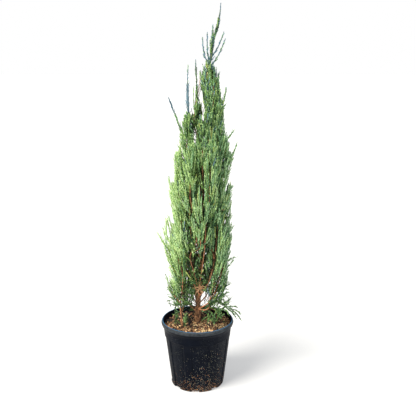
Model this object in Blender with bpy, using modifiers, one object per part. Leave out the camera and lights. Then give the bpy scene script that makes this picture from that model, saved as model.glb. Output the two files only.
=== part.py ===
"""A young eastern red cedar in a round nursery pot.

Metres, +Z up. The origin is the middle of the pot's flat underside, -Y is the front and +X the right.
Azimuths are in degrees about +Z from +X, so -90 is the front. Heights are above the pot's underside.
Every solid keeps CLEARANCE to the solids beside it.
"""

import math
import random

import bmesh
import bpy
from mathutils import Vector
from mathutils.geometry import interpolate_bezier

CLEARANCE = 0.0003

# The pot: a thin tapered shell with a turned-down rim, a shoulder and drain notches in its bottom edge.
POT_HEIGHT = 0.2785
RIM_RADIUS = 0.1505
RIM_INNER_RADIUS = 0.1430
RIM_BAND_HEIGHT = 0.029
RIM_ROUNDING = 0.0030  # where the rim turns down
RIM_INNER_ROUNDING = 0.0015
RIM_BAND_LEAN = 0.0005  # how much narrower the band is at its foot
RIM_BAND_THICKNESS = 0.0025
RIM_TOP_THICKNESS = 0.006
EDGE = 0.001  # how far the profile's small corners are cut back
FOOT_RADIUS = 0.1105
WALL_TAPER = 0.122  # how much the wall's radius grows for each metre of height
WALL_THICKNESS = 0.0022
FLOOR_THICKNESS = 0.003
SHOULDER_HEIGHT = 0.2170
SHOULDER_STEP = 0.0014
FOOT_ROUNDING = 0.004
POT_STEPS = 32
NOTCHES = 8
NOTCH_WIDTH = 0.030
NOTCH_HEIGHT = 0.006
NOTCH_DEPTH = 0.008
NOTCH_AZIMUTH = -94.0  # of the first notch

# The potting mix fills the pot to a level disc round the trunk, and falls a little towards the wall.
MIX_HEIGHT = 0.2560
MIX_LEVEL_RADIUS = 0.060
MIX_FALL = 0.004
MIX_STEPS = 24

# The trunk's course, as (height, x, y), from its cut at the mix to the leader's tip.
TRUNK_COURSE = (
    (0.256, 0.000, 0.018),
    (0.290, 0.000, 0.018),
    (0.340, 0.003, 0.016),
    (0.420, 0.006, 0.013),
    (0.560, 0.015, 0.008),
    (0.700, 0.023, 0.003),
    (0.880, 0.023, -0.003),
    (0.960, 0.033, -0.002),
    (1.230, 0.047, 0.003),
    (1.340, 0.054, 0.002),
    (1.395, 0.062, 0.001),
    (1.440, 0.077, 0.000),
    (1.475, 0.087, 0.000),
    (1.510, 0.091, 0.000),
)
TRUNK_RADIUS = 0.0088
TRUNK_TIP_RADIUS = 0.0011
TRUNK_TAPER_POWER = 0.75  # below 1 the trunk thins fastest near its tip
FLARE_RADIUS = 0.009
FLARE_HEIGHT = 0.014
TRUNK_RINGS = 18
TRUNK_RING_POWER = 1.5  # above 1 the rings stand closer together at the flare
TRUNK_SIDES_RESOLUTION = 2  # a bevel resolution of n gives 2n + 4 sides

# How far the foliage reaches from the trunk's axis, as (height, reach to the left, reach to the right).
CROWN_REACH = (
    (0.30, 0.100, 0.105),
    (0.43, 0.120, 0.124),
    (0.56, 0.142, 0.124),
    (0.66, 0.116, 0.117),
    (0.80, 0.128, 0.116),
    (0.88, 0.108, 0.106),
    (0.95, 0.120, 0.115),
    (1.02, 0.097, 0.084),
    (1.09, 0.102, 0.064),
    (1.16, 0.064, 0.062),
    (1.24, 0.053, 0.044),
    (1.33, 0.026, 0.024),
)

# Tiers of upright plumes. Each holds how high its plumes' feet and tips are, how far from the trunk's
# axis their feet lie, their half width along the crown's edge, and their azimuths.
TIERS = (
    ("skirt", 0.305, 0.610, 0.058, 0.050, (-142, 176, 136, 92, 48, 4, -44)),
    ("low", 0.430, 0.800, 0.026, 0.049, (-96, -158, 156, 112, 66, 18, -36)),
    ("middle", 0.620, 0.985, 0.024, 0.049, (-70, -126, 178, 118, 56, -8)),
    ("high", 0.835, 1.120, 0.020, 0.042, (-98, -168, 122, 50, -28)),
    ("upper", 0.985, 1.275, 0.016, 0.034, (-62, -172, 96, 8)),
    ("top", 1.150, 1.330, 0.010, 0.026, (-112, 62)),
)
FOOT_RISE = 0.075  # how much higher a skirt plume's foot is in the open places below
OPEN_AZIMUTHS = (92, 48)
PLUME_SIDES = 8
PLUME_RINGS = 6
PLUME_DEPTH = 0.80  # a plume's half depth, from the trunk outwards, as a share of its half width
PLUME_SWING = 0.45  # the share of its length in which a plume swings out to the crown's edge
PLUME_LEAN_IN = (0.7, 0.20)  # from this share up it leans in again, by this share of its foot's distance
FOOT_VARIATION = (-0.012, 0.020)
TIP_VARIATION = (-0.030, 0.030)
WIDTH_VARIATION = (0.92, 1.10)
DEPTH_VARIATION = (0.90, 1.10)
SWELL_FOOT = 1.12  # a flame is this much fuller than a plain ellipsoid at its foot
SWELL_LOSS = 0.34  # and this much less so at its tip
UNEVENNESS = 0.17

# The plume round the top of the trunk.
LEADER_LOW = 1.335
LEADER_HIGH = 1.534
LEADER_HALF_WIDTH = 0.0078
LEADER_SIDES = 6
LEADER_RINGS = 10

# Thin sprays that stand clear of the plumes: foot, middle and tip, and the half thickness of each.
SPRAYS = {
    "shoot_left_tall": ((0.053, 0.002, 1.312), (0.031, -0.004, 1.345), (0.024, -0.004, 1.412), 0.0048),
    "shoot_left_short": ((0.054, -0.001, 1.325), (0.043, -0.012, 1.352), (0.042, -0.014, 1.430), 0.0042),
    "shoot_middle": ((0.056, 0.003, 1.350), (0.058, 0.012, 1.395), (0.063, 0.012, 1.458), 0.0044),
    "shoot_right_tall": ((0.055, 0.001, 1.335), (0.078, 0.004, 1.368), (0.104, 0.002, 1.430), 0.0046),
    "shoot_right_short": ((0.053, -0.001, 1.300), (0.086, -0.010, 1.350), (0.110, -0.012, 1.408), 0.0046),
    "shoot_far_left": ((-0.022, -0.010, 1.075), (-0.033, -0.012, 1.150), (-0.031, -0.010, 1.315), 0.0062),
    "shoot_near_left": ((0.024, -0.018, 1.150), (0.003, -0.022, 1.235), (-0.002, -0.020, 1.333), 0.0062),
    "wisp_high_left": ((-0.045, 0.004, 1.030), (-0.076, 0.006, 1.100), (-0.110, 0.006, 1.190), 0.0055),
    "wisp_left": ((-0.090, 0.012, 0.560), (-0.128, 0.012, 0.590), (-0.155, 0.010, 0.640), 0.0062),
    "wisp_left_upright": ((-0.090, -0.016, 0.590), (-0.121, -0.020, 0.640), (-0.118, -0.020, 0.717), 0.0070),
    "horn_top_right": ((0.078, 0.006, 1.110), (0.100, 0.008, 1.155), (0.114, 0.008, 1.225), 0.0070),
    "horn_high_right": ((0.092, -0.004, 0.990), (0.116, -0.004, 1.022), (0.147, -0.004, 1.062), 0.0060),
    "horn_right": ((0.112, 0.010, 0.930), (0.140, 0.010, 0.962), (0.158, 0.010, 1.014), 0.0066),
    "spray_low_right": ((0.072, -0.036, 0.372), (0.130, -0.044, 0.345), (0.182, -0.052, 0.288), 0.0085),
    "spray_low_left": ((-0.058, -0.036, 0.362), (-0.092, -0.042, 0.344), (-0.114, -0.044, 0.354), 0.0060),
}
SPRAY_SIDES = 6
SPRAY_RINGS = 6
SPRAY_WIDENING = 1.2  # a spray is this much wider than it is thick

# Boughs, as the height where each leaves its parent, its azimuth, its reach, the height of its far end
# and its radius at the foot. Each runs out first and then turns upwards.
BOUGHS = {
    "bough_right": (0.372, -38, 0.086, 0.660, 0.0040),
    "bough_low_right": (0.325, -14, 0.098, 0.505, 0.0034),
    "bough_front": (0.440, -72, 0.036, 0.680, 0.0034),
    "bough_front_left": (0.436, -128, 0.052, 0.560, 0.0032),
    "bough_low_left": (0.342, -166, 0.040, 0.440, 0.0030),
    "bough_left": (0.274, 172, 0.066, 0.480, 0.0042),
    "bough_back_left": (0.380, 138, 0.066, 0.560, 0.0036),
    "bough_back": (0.350, 96, 0.062, 0.560, 0.0036),
    "bough_back_right": (0.398, 50, 0.064, 0.560, 0.0036),
}
BOUGH_TIP_RADIUS = 0.0020
BOUGH_POINTS = 9
BOUGH_SIDES_RESOLUTION = 2
BOUGH_TURN = 0.78  # the share of the reach that a bough has run when it turns upwards
BOUGH_KNEE_RISE = 0.12  # the share of its rise that it has risen there
BOUGH_UPRIGHT = 0.5  # the share of its rise in which it stands upright at its end

WELD = 0.00001  # points nearer than this are one

BARK = ((0.235, 0.135, 0.085), 0.85)
FOLIAGE = ((0.17, 0.27, 0.13), 0.80)
TIP_FOLIAGE = ((0.19, 0.29, 0.27), 0.80)
PLASTIC = ((0.016, 0.021, 0.028), 0.42)
MIX = ((0.23, 0.125, 0.062), 0.95)


def clear_scene():
    for thing in list(bpy.data.objects):
        bpy.data.objects.remove(thing)


def make_collection(name):
    collection = bpy.data.collections.new(name)
    bpy.context.scene.collection.children.link(collection)
    return collection


def make_material(name, look):
    colour, roughness = look
    material = bpy.data.materials.new(name)
    material.use_nodes = True
    shader = material.node_tree.nodes["Principled BSDF"]
    shader.inputs["Base Color"].default_value = (*colour, 1.0)
    shader.inputs["Roughness"].default_value = roughness
    shader.inputs["Metallic"].default_value = 0.0
    return material


def add_object(name, data, collection, material=None):
    thing = bpy.data.objects.new(name, data)
    collection.objects.link(thing)
    if material:
        data.materials.append(material)
    return thing


def evaluated_mesh(thing):
    """A new mesh of the object as its modifiers leave it."""
    bpy.context.view_layer.update()
    graph = bpy.context.evaluated_depsgraph_get()
    return bpy.data.meshes.new_from_object(thing.evaluated_get(graph))


def between(table, height, column):
    """The table's column at this height, in a straight line between its rows."""
    if height <= table[0][0]:
        return table[0][column]
    for low, high in zip(table, table[1:]):
        if height <= high[0]:
            share = (height - low[0]) / (high[0] - low[0])
            return low[column] + share * (high[column] - low[column])
    return table[-1][column]


def trunk_axis(height):
    return Vector((between(TRUNK_COURSE, height, 1), between(TRUNK_COURSE, height, 2), height))


def outward(azimuth):
    angle = math.radians(azimuth)
    return Vector((math.cos(angle), math.sin(angle), 0.0))


def crown_reach(height, azimuth):
    """The crown's reach blends from its left side to its right side with the azimuth."""
    rightness = 0.5 + 0.5 * math.cos(math.radians(azimuth))
    left = between(CROWN_REACH, height, 1)
    right = between(CROWN_REACH, height, 2)
    return left + rightness * (right - left)


def wall_radius(height):
    return FOOT_RADIUS + WALL_TAPER * height


# Pot and potting mix


def turned(name, profile, steps, collection, material):
    """A solid turned about Z from (radius, height) points that run down its outer side."""
    mesh = bpy.data.meshes.new(name)
    points = [(radius, 0.0, height) for radius, height in profile]
    mesh.from_pydata(points, [(i, i + 1) for i in range(len(points) - 1)], [])
    thing = add_object(name, mesh, collection, material)
    screw = thing.modifiers.new("turn", "SCREW")
    screw.steps = steps
    screw.render_steps = steps
    screw.use_merge_vertices = True
    screw.merge_threshold = WELD
    return thing


def pot_profile():
    band_foot = POT_HEIGHT - RIM_BAND_HEIGHT
    inner_shoulder = wall_radius(SHOULDER_HEIGHT) - SHOULDER_STEP - WALL_THICKNESS
    return [
        (0.0, FLOOR_THICKNESS),
        (FOOT_RADIUS - SHOULDER_STEP - WALL_THICKNESS, FLOOR_THICKNESS),
        (inner_shoulder, SHOULDER_HEIGHT),
        (RIM_INNER_RADIUS, POT_HEIGHT - RIM_INNER_ROUNDING),
        (RIM_INNER_RADIUS + RIM_INNER_ROUNDING, POT_HEIGHT),
        (RIM_RADIUS - RIM_BAND_THICKNESS, POT_HEIGHT),
        (RIM_RADIUS, POT_HEIGHT - RIM_ROUNDING),
        (RIM_RADIUS - RIM_BAND_LEAN, band_foot + EDGE),
        (RIM_RADIUS - RIM_BAND_THICKNESS, band_foot),
        (RIM_RADIUS - RIM_BAND_THICKNESS - RIM_BAND_LEAN, POT_HEIGHT - RIM_TOP_THICKNESS),
        (RIM_INNER_RADIUS + WALL_THICKNESS, POT_HEIGHT - RIM_TOP_THICKNESS - EDGE * 2),
        (wall_radius(band_foot) + EDGE / 2, band_foot),
        (wall_radius(SHOULDER_HEIGHT) + EDGE / 2, SHOULDER_HEIGHT + EDGE),
        (wall_radius(SHOULDER_HEIGHT) - SHOULDER_STEP, SHOULDER_HEIGHT - EDGE),
        (FOOT_RADIUS - SHOULDER_STEP * 0.5, FOOT_ROUNDING),
        (FOOT_RADIUS - FOOT_ROUNDING, 0.0),
        (0.0, 0.0),
    ]


def make_pot(parts, cutters, material):
    pot = turned("pot", pot_profile(), POT_STEPS, parts, material)
    for index in range(NOTCHES):
        azimuth = 360.0 * index / NOTCHES + NOTCH_AZIMUTH
        bpy.ops.mesh.primitive_cube_add(size=1.0)
        notch = bpy.context.active_object
        notch.name = f"notch_cutter_{index}"
        notch.dimensions = (NOTCH_DEPTH * 2, NOTCH_WIDTH, NOTCH_HEIGHT * 2)
        notch.rotation_euler.z = math.radians(azimuth)
        notch.location = outward(azimuth) * FOOT_RADIUS
        notch.hide_render = True
        notch.display_type = "WIRE"
        for home in list(notch.users_collection):
            home.objects.unlink(notch)
        cutters.objects.link(notch)
        cut = pot.modifiers.new(f"notch_{index}", "BOOLEAN")
        cut.operation = "DIFFERENCE"
        cut.object = notch


def make_mix(parts, material):
    floor_radius = FOOT_RADIUS - SHOULDER_STEP - WALL_THICKNESS - CLEARANCE * 2
    edge_height = MIX_HEIGHT - MIX_FALL
    inner_shoulder = wall_radius(SHOULDER_HEIGHT) - SHOULDER_STEP - WALL_THICKNESS
    share = (edge_height - SHOULDER_HEIGHT) / (POT_HEIGHT - RIM_INNER_ROUNDING - SHOULDER_HEIGHT)
    edge_radius = inner_shoulder + share * (RIM_INNER_RADIUS - inner_shoulder)
    profile = [
        (0.0, MIX_HEIGHT - CLEARANCE),
        (MIX_LEVEL_RADIUS, MIX_HEIGHT - CLEARANCE),
        (edge_radius - CLEARANCE * 3, edge_height),
        (inner_shoulder - CLEARANCE * 3, SHOULDER_HEIGHT),
        (floor_radius - CLEARANCE, FLOOR_THICKNESS + CLEARANCE),
        (0.0, FLOOR_THICKNESS + CLEARANCE),
    ]
    turned("potting_mix", profile, MIX_STEPS, parts, material)


# Limbs


def limb(name, points, radii, resolution, collection, material):
    """A closed tapering tube through the points, as a mesh."""
    curve = bpy.data.curves.new(name, "CURVE")
    curve.dimensions = "3D"
    curve.bevel_depth = 1.0
    curve.bevel_resolution = resolution
    curve.use_fill_caps = True
    spline = curve.splines.new("POLY")
    spline.points.add(len(points) - 1)
    for control, point, radius in zip(spline.points, points, radii):
        control.co = (*point, 1.0)
        control.radius = radius
    tube = add_object(name + "_tube", curve, collection)
    mesh = evaluated_mesh(tube)
    bpy.data.objects.remove(tube)
    welded = bmesh.new()
    welded.from_mesh(mesh)
    bmesh.ops.remove_doubles(welded, verts=welded.verts, dist=WELD)
    bmesh.ops.recalc_face_normals(welded, faces=welded.faces)
    welded.to_mesh(mesh)
    welded.free()
    mesh.shade_smooth()
    return add_object(name, mesh, collection, material)


def trunk_radius(height):
    foot, tip = TRUNK_COURSE[0][0], TRUNK_COURSE[-1][0]
    left = max(0.0, (tip - height) / (tip - foot))
    taper = TRUNK_TIP_RADIUS + (TRUNK_RADIUS - TRUNK_TIP_RADIUS) * left**TRUNK_TAPER_POWER
    return taper + FLARE_RADIUS * math.exp(-(height - foot) / FLARE_HEIGHT)


def make_trunk(parts, material):
    foot, tip = TRUNK_COURSE[0][0], TRUNK_COURSE[-1][0]
    shares = [(index / TRUNK_RINGS) ** TRUNK_RING_POWER for index in range(TRUNK_RINGS + 1)]
    heights = [foot + (tip - foot) * share for share in shares]
    points = [trunk_axis(height) for height in heights]
    radii = [trunk_radius(height) for height in heights]
    return limb("trunk", points, radii, TRUNK_SIDES_RESOLUTION, parts, material)


def bough_points(start_height, azimuth, reach, end_height):
    start = trunk_axis(start_height)
    end = trunk_axis(end_height) + outward(azimuth) * reach
    rise = end_height - start_height
    knee = start + outward(azimuth) * reach * BOUGH_TURN + Vector((0.0, 0.0, rise * BOUGH_KNEE_RISE))
    above = Vector((end.x, end.y, end.z - rise * BOUGH_UPRIGHT))
    return interpolate_bezier(start, knee, above, end, BOUGH_POINTS)


def make_bough(name, sizes, parts, material):
    start_height, azimuth, reach, end_height, radius = sizes
    points = bough_points(start_height, azimuth, reach, end_height)
    last = len(points) - 1
    radii = [radius + (BOUGH_TIP_RADIUS - radius) * i / last for i in range(len(points))]
    return limb(name, points, radii, BOUGH_SIDES_RESOLUTION, parts, material)


# Masses of foliage


def uneven_factor(rng):
    """A smooth factor round 1 over (share of the length, angle round the axis)."""
    phases = [rng.uniform(0.0, 2.0 * math.pi) for _ in range(4)]

    def factor(share, angle):
        wave = 0.45 * math.sin(3.0 * angle + phases[0] + 4.0 * share)
        wave += 0.35 * math.sin(2.0 * angle + phases[1] - 9.0 * share)
        wave += 0.35 * math.sin(15.0 * share + phases[2])
        wave += 0.20 * math.sin(5.0 * angle + phases[3])
        return 1.0 + UNEVENNESS * wave

    return factor


def swell(share):
    return SWELL_FOOT - SWELL_LOSS * share


def flame(name, course, across, half_width, half_depth, sides, rings, collection, material):
    """A closed uneven flame: course(share) is its axis, and across is level and along its width."""
    shape = bmesh.new()
    bmesh.ops.create_uvsphere(shape, u_segments=sides, v_segments=rings, radius=1.0)
    uneven = uneven_factor(random.Random(name))
    for vertex in shape.verts:
        x, y, z = vertex.co
        share = 0.5 + 0.5 * z
        fullness = swell(share) * uneven(share, math.atan2(y, x))
        ahead = course(min(1.0, share + 0.01)) - course(max(0.0, share - 0.01))
        inward = ahead.cross(across).normalized()
        vertex.co = course(share) + (across * x * half_width + inward * y * half_depth) * fullness
    bmesh.ops.recalc_face_normals(shape, faces=shape.faces)
    bmesh.ops.triangulate(shape, faces=shape.faces)
    mesh = bpy.data.meshes.new(name)
    shape.to_mesh(mesh)
    shape.free()
    return add_object(name, mesh, collection, material)


def plume_course(foot_height, tip_height, foot_reach, azimuth, depth):
    """A plume's axis leaves its foot near the trunk, swings out to the crown's edge and stands upright."""

    def course(share):
        height = foot_height + (tip_height - foot_height) * share
        girth = swell(share) * 2 * math.sqrt(max(0.0, share * (1.0 - share)))
        edge = crown_reach(height, azimuth) - depth * girth
        swing = min(1.0, share / PLUME_SWING)
        swing = swing * swing * (3.0 - 2.0 * swing)
        lean_start, lean = PLUME_LEAN_IN
        lean_in = lean * max(0.0, share - lean_start)
        reach = foot_reach + (edge - foot_reach) * swing - lean_in * foot_reach
        return trunk_axis(height) + outward(azimuth) * reach

    return course


def make_plumes(parts, cutters, material, trunk_cutter):
    """Plumes of a tier part at upright planes halfway between them, and lower tiers cut higher ones."""
    flames = [trunk_cutter]
    for tier, foot, tip, foot_reach, half_width, azimuths in TIERS:
        rng = random.Random(tier)
        own_flames = []
        for index, azimuth in enumerate(azimuths):
            foot_height = foot + rng.uniform(*FOOT_VARIATION)
            tip_height = tip + rng.uniform(*TIP_VARIATION)
            width = half_width * rng.uniform(*WIDTH_VARIATION)
            depth = PLUME_DEPTH * half_width * rng.uniform(*DEPTH_VARIATION)
            if tier == "skirt" and azimuth in OPEN_AZIMUTHS:
                foot_height += FOOT_RISE
            course = plume_course(foot_height, tip_height, foot_reach, azimuth, depth)
            across = outward(azimuth + 90)
            name = f"mass_{tier}_{index + 1}"
            size = (width, depth, PLUME_SIDES, PLUME_RINGS)
            plume = flame(name, course, across, *size, parts, material)
            own_flames.append(swollen_copy(plume, cutters))
            part_from_neighbours(plume, azimuth, azimuths, trunk_axis((foot + tip) / 2))
            cut_clear(plume, flames)
        flames += own_flames
    return flames


def part_from_neighbours(plume, azimuth, azimuths, axis_point):
    """Cuts the plume at the upright planes through the trunk's axis halfway to the next azimuths."""
    turns = sorted((other - azimuth) % 360 for other in azimuths if other != azimuth)
    for turn, side in ((turns[0], 1), (turns[-1] - 360, -1)):
        normal = outward(azimuth + turn / 2 + 90 * side)
        shape = bmesh.new()
        shape.from_mesh(plume.data)
        geometry = shape.verts[:] + shape.edges[:] + shape.faces[:]
        place = axis_point - normal * CLEARANCE / 2
        cut = bmesh.ops.bisect_plane(
            shape, geom=geometry, plane_co=place, plane_no=normal, clear_outer=True, dist=0.000001
        )
        edges = [item for item in cut["geom_cut"] if isinstance(item, bmesh.types.BMEdge)]
        if edges:
            filled = bmesh.ops.edgeloop_fill(shape, edges=edges)
            bmesh.ops.triangulate(shape, faces=filled["faces"])
        bmesh.ops.recalc_face_normals(shape, faces=shape.faces)
        shape.to_mesh(plume.data)
        shape.free()


def make_leader(parts, material):
    """The plume round the top of the trunk, which follows the leader's bends and ends above it."""

    def course(share):
        height = LEADER_LOW + (LEADER_HIGH - LEADER_LOW) * share
        return Vector((*trunk_axis(height).xy, height))

    across = Vector((1.0, 0.0, 0.0))
    size = (LEADER_HALF_WIDTH, LEADER_HALF_WIDTH, LEADER_SIDES, LEADER_RINGS)
    return flame("mass_leader", course, across, *size, parts, material)


def make_spray(name, sizes, parts, material):
    foot, middle, tip, half_thickness = sizes
    foot, middle, tip = Vector(foot), Vector(middle), Vector(tip)

    def course(share):
        control = middle * 2.0 - (foot + tip) * 0.5
        bend = control * 2.0 * share * (1.0 - share)
        return foot * (1.0 - share) ** 2 + bend + tip * share**2

    across = Vector((0.0, 1.0, 0.0))
    size = (half_thickness * SPRAY_WIDENING, half_thickness, SPRAY_SIDES, SPRAY_RINGS)
    return flame(name, course, across, *size, parts, material)


# Cutting solids clear of each other


def box_of(thing):
    corners = [vertex.co for vertex in thing.data.vertices]
    low = Vector([min(corner[axis] for corner in corners) for axis in range(3)])
    high = Vector([max(corner[axis] for corner in corners) for axis in range(3)])
    return low, high


def boxes_meet(first, second):
    (low_a, high_a), (low_b, high_b) = first, second
    return all(low_a[i] < high_b[i] and low_b[i] < high_a[i] for i in range(3))


def swollen_copy(thing, collection):
    """A cutter that stands CLEARANCE proud of the solid."""
    mesh = thing.data.copy()
    shape = bmesh.new()
    shape.from_mesh(mesh)
    shape.normal_update()
    moves = [v.normal * CLEARANCE * min(3.0, v.calc_shell_factor()) for v in shape.verts]
    for vertex, move in zip(shape.verts, moves):
        vertex.co += move
    shape.to_mesh(mesh)
    shape.free()
    cutter = add_object(thing.name + "_cutter", mesh, collection)
    cutter.hide_render = True
    cutter.display_type = "WIRE"
    return cutter


def largest_island(shape):
    """The faces of the bmesh's biggest connected piece."""
    unseen = set(shape.faces)
    best = []
    while unseen:
        start = unseen.pop()
        island = [start]
        for face in island:
            for edge in face.edges:
                for other in edge.link_faces:
                    if other in unseen:
                        unseen.discard(other)
                        island.append(other)
        if len(island) > len(best):
            best = island
    return set(best)


def cut_clear(thing, cutters):
    """Takes the cutters out of the solid and keeps its largest piece."""
    own_box = box_of(thing)
    near = [cutter for cutter in cutters if boxes_meet(own_box, box_of(cutter))]
    for cutter in near:
        cut = thing.modifiers.new("cut", "BOOLEAN")
        cut.operation = "DIFFERENCE"
        cut.object = cutter
        mesh = evaluated_mesh(thing)
        thing.modifiers.remove(cut)
        shape = bmesh.new()
        shape.from_mesh(mesh)
        keep = largest_island(shape)
        bmesh.ops.delete(shape, geom=[f for f in shape.faces if f not in keep], context="FACES")
        bmesh.ops.dissolve_degenerate(shape, dist=0.00002, edges=shape.edges)
        bmesh.ops.triangulate(shape, faces=shape.faces)
        shape.to_mesh(mesh)
        shape.free()
        thing.data = mesh


def main():
    clear_scene()
    parts = make_collection("eastern_red_cedar")
    cutters = make_collection("cutters")
    bark = make_material("bark", BARK)
    foliage = make_material("foliage", FOLIAGE)
    tip_foliage = make_material("tip_foliage", TIP_FOLIAGE)

    make_pot(parts, cutters, make_material("pot_plastic", PLASTIC))
    make_mix(parts, make_material("potting_mix", MIX))
    trunk_cutter = swollen_copy(make_trunk(parts, bark), cutters)
    done = make_plumes(parts, cutters, foliage, trunk_cutter)

    thin_pieces = [make_leader(parts, tip_foliage)]
    for name, sizes in SPRAYS.items():
        thin_pieces.append(make_spray(name, sizes, parts, tip_foliage if "shoot" in name else foliage))
    for name, sizes in BOUGHS.items():
        thin_pieces.append(make_bough(name, sizes, parts, bark))
    for piece in thin_pieces:
        cutter = swollen_copy(piece, cutters)
        cut_clear(piece, done)
        done.append(cutter)


main()
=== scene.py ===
"""The looks of the eastern red cedar in its nursery pot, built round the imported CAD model.

Metres, +Z up. The origin is the middle of the pot's underside, -Y is the front and +X the right.
Limbs and masses of foliage are read from the frame's solids: slices through each solid give a limb's
course, and twigs and sprays then grow from the limbs until they meet the crown's skin.
"""

import math

import bpy
import numpy as np
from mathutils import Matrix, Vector, noise
from mathutils.bvhtree import BVHTree


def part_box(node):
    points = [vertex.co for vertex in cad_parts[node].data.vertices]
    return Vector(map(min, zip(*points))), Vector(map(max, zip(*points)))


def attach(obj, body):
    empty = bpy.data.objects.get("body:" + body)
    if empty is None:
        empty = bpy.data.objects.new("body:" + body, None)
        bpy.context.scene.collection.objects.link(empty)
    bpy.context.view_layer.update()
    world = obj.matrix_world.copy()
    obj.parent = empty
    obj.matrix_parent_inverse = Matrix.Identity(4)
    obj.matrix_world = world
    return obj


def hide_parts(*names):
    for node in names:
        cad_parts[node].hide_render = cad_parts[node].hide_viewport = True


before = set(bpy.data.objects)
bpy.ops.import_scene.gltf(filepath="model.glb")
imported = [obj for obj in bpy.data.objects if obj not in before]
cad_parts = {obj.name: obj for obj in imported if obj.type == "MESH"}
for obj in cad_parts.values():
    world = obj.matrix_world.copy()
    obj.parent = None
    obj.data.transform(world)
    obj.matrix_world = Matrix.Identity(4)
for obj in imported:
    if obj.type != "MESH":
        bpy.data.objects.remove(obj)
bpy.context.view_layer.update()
BODY = "root"
SEED = 1871
UP = np.array((0.0, 0.0, 1.0))
TURN = 2.0 * math.pi
GOLDEN_TURN = math.radians(137.5)

# ---------------------------------------------------------------- camera

PHOTO_SIZE = 416  # pixels, square
FOCAL_PIXELS = 647.0
SENSOR_WIDTH = 36.0
CAMERA_PLACE = (0.0442, -2.52, 1.337)
CAMERA_PITCH = 13.1  # degrees below level


def make_camera():
    data = bpy.data.cameras.new("camera")
    data.sensor_width = SENSOR_WIDTH
    data.lens = FOCAL_PIXELS / PHOTO_SIZE * SENSOR_WIDTH
    data.clip_end = 50.0
    camera = bpy.data.objects.new("camera", data)
    camera.location = CAMERA_PLACE
    camera.rotation_euler = (math.radians(90.0 - CAMERA_PITCH), 0.0, 0.0)
    bpy.context.scene.collection.objects.link(camera)
    bpy.context.scene.camera = camera


# ---------------------------------------------------------------- meshes from arrays


def mesh_object(name, points, quads=None, triangles=None, smooth=True):
    """A mesh object from arrays of points, four-cornered faces and three-cornered faces."""
    given = [(faces, sides) for faces, sides in ((quads, 4), (triangles, 3)) if faces is not None]
    parts = [np.asarray(faces, np.int32).reshape(-1, sides) for faces, sides in given]
    corners = np.concatenate([faces.ravel() for faces in parts])
    sizes = np.concatenate([np.full(len(faces), faces.shape[1], np.int32) for faces in parts])
    starts = np.concatenate(([0], np.cumsum(sizes)[:-1])).astype(np.int32)
    mesh = bpy.data.meshes.new(name)
    mesh.vertices.add(len(points))
    mesh.vertices.foreach_set("co", np.asarray(points, np.float32).ravel())
    mesh.loops.add(len(corners))
    mesh.loops.foreach_set("vertex_index", corners)
    mesh.polygons.add(len(sizes))
    mesh.polygons.foreach_set("loop_start", starts)
    mesh.polygons.foreach_set("use_smooth", np.full(len(sizes), smooth))
    mesh.update(calc_edges=True)
    mesh.validate()
    thing = bpy.data.objects.new(name, mesh)
    bpy.context.scene.collection.objects.link(thing)
    return thing


def finish_piece(thing, material, replaces=()):
    thing.data.materials.append(material)
    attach(thing, BODY)
    if replaces:
        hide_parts(*replaces)
    return thing


def grid_faces(rows, columns):
    """The quads of a grid of rows by columns, whose last column joins up with its first."""
    row, column = np.meshgrid(np.arange(rows - 1), np.arange(columns), indexing="ij")
    after = (column + 1) % columns
    low, high = row * columns, (row + 1) * columns
    return np.stack((low + column, low + after, high + after, high + column), -1).reshape(-1, 4)


def cap_faces(first, count, centre):
    """The triangles that close a ring of points round a centre, given the index of the ring's first point."""
    around = np.arange(count)
    return np.stack((first + around, first + (around + 1) % count, np.full(count, centre)), -1)


def copies(faces, count, points_each):
    """The faces of one small shape repeated for a row of shapes, which have this many points each."""
    return (faces[None] + (np.arange(count) * points_each)[:, None, None]).reshape(-1, faces.shape[1])


def millimetres(table):
    """A table written in millimetres as an array in metres."""
    return np.array(table) / 1000


def level(turn):
    """The level direction at this turn."""
    return np.array((math.cos(turn), math.sin(turn), 0.0))


# ---------------------------------------------------------------- materials


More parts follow.
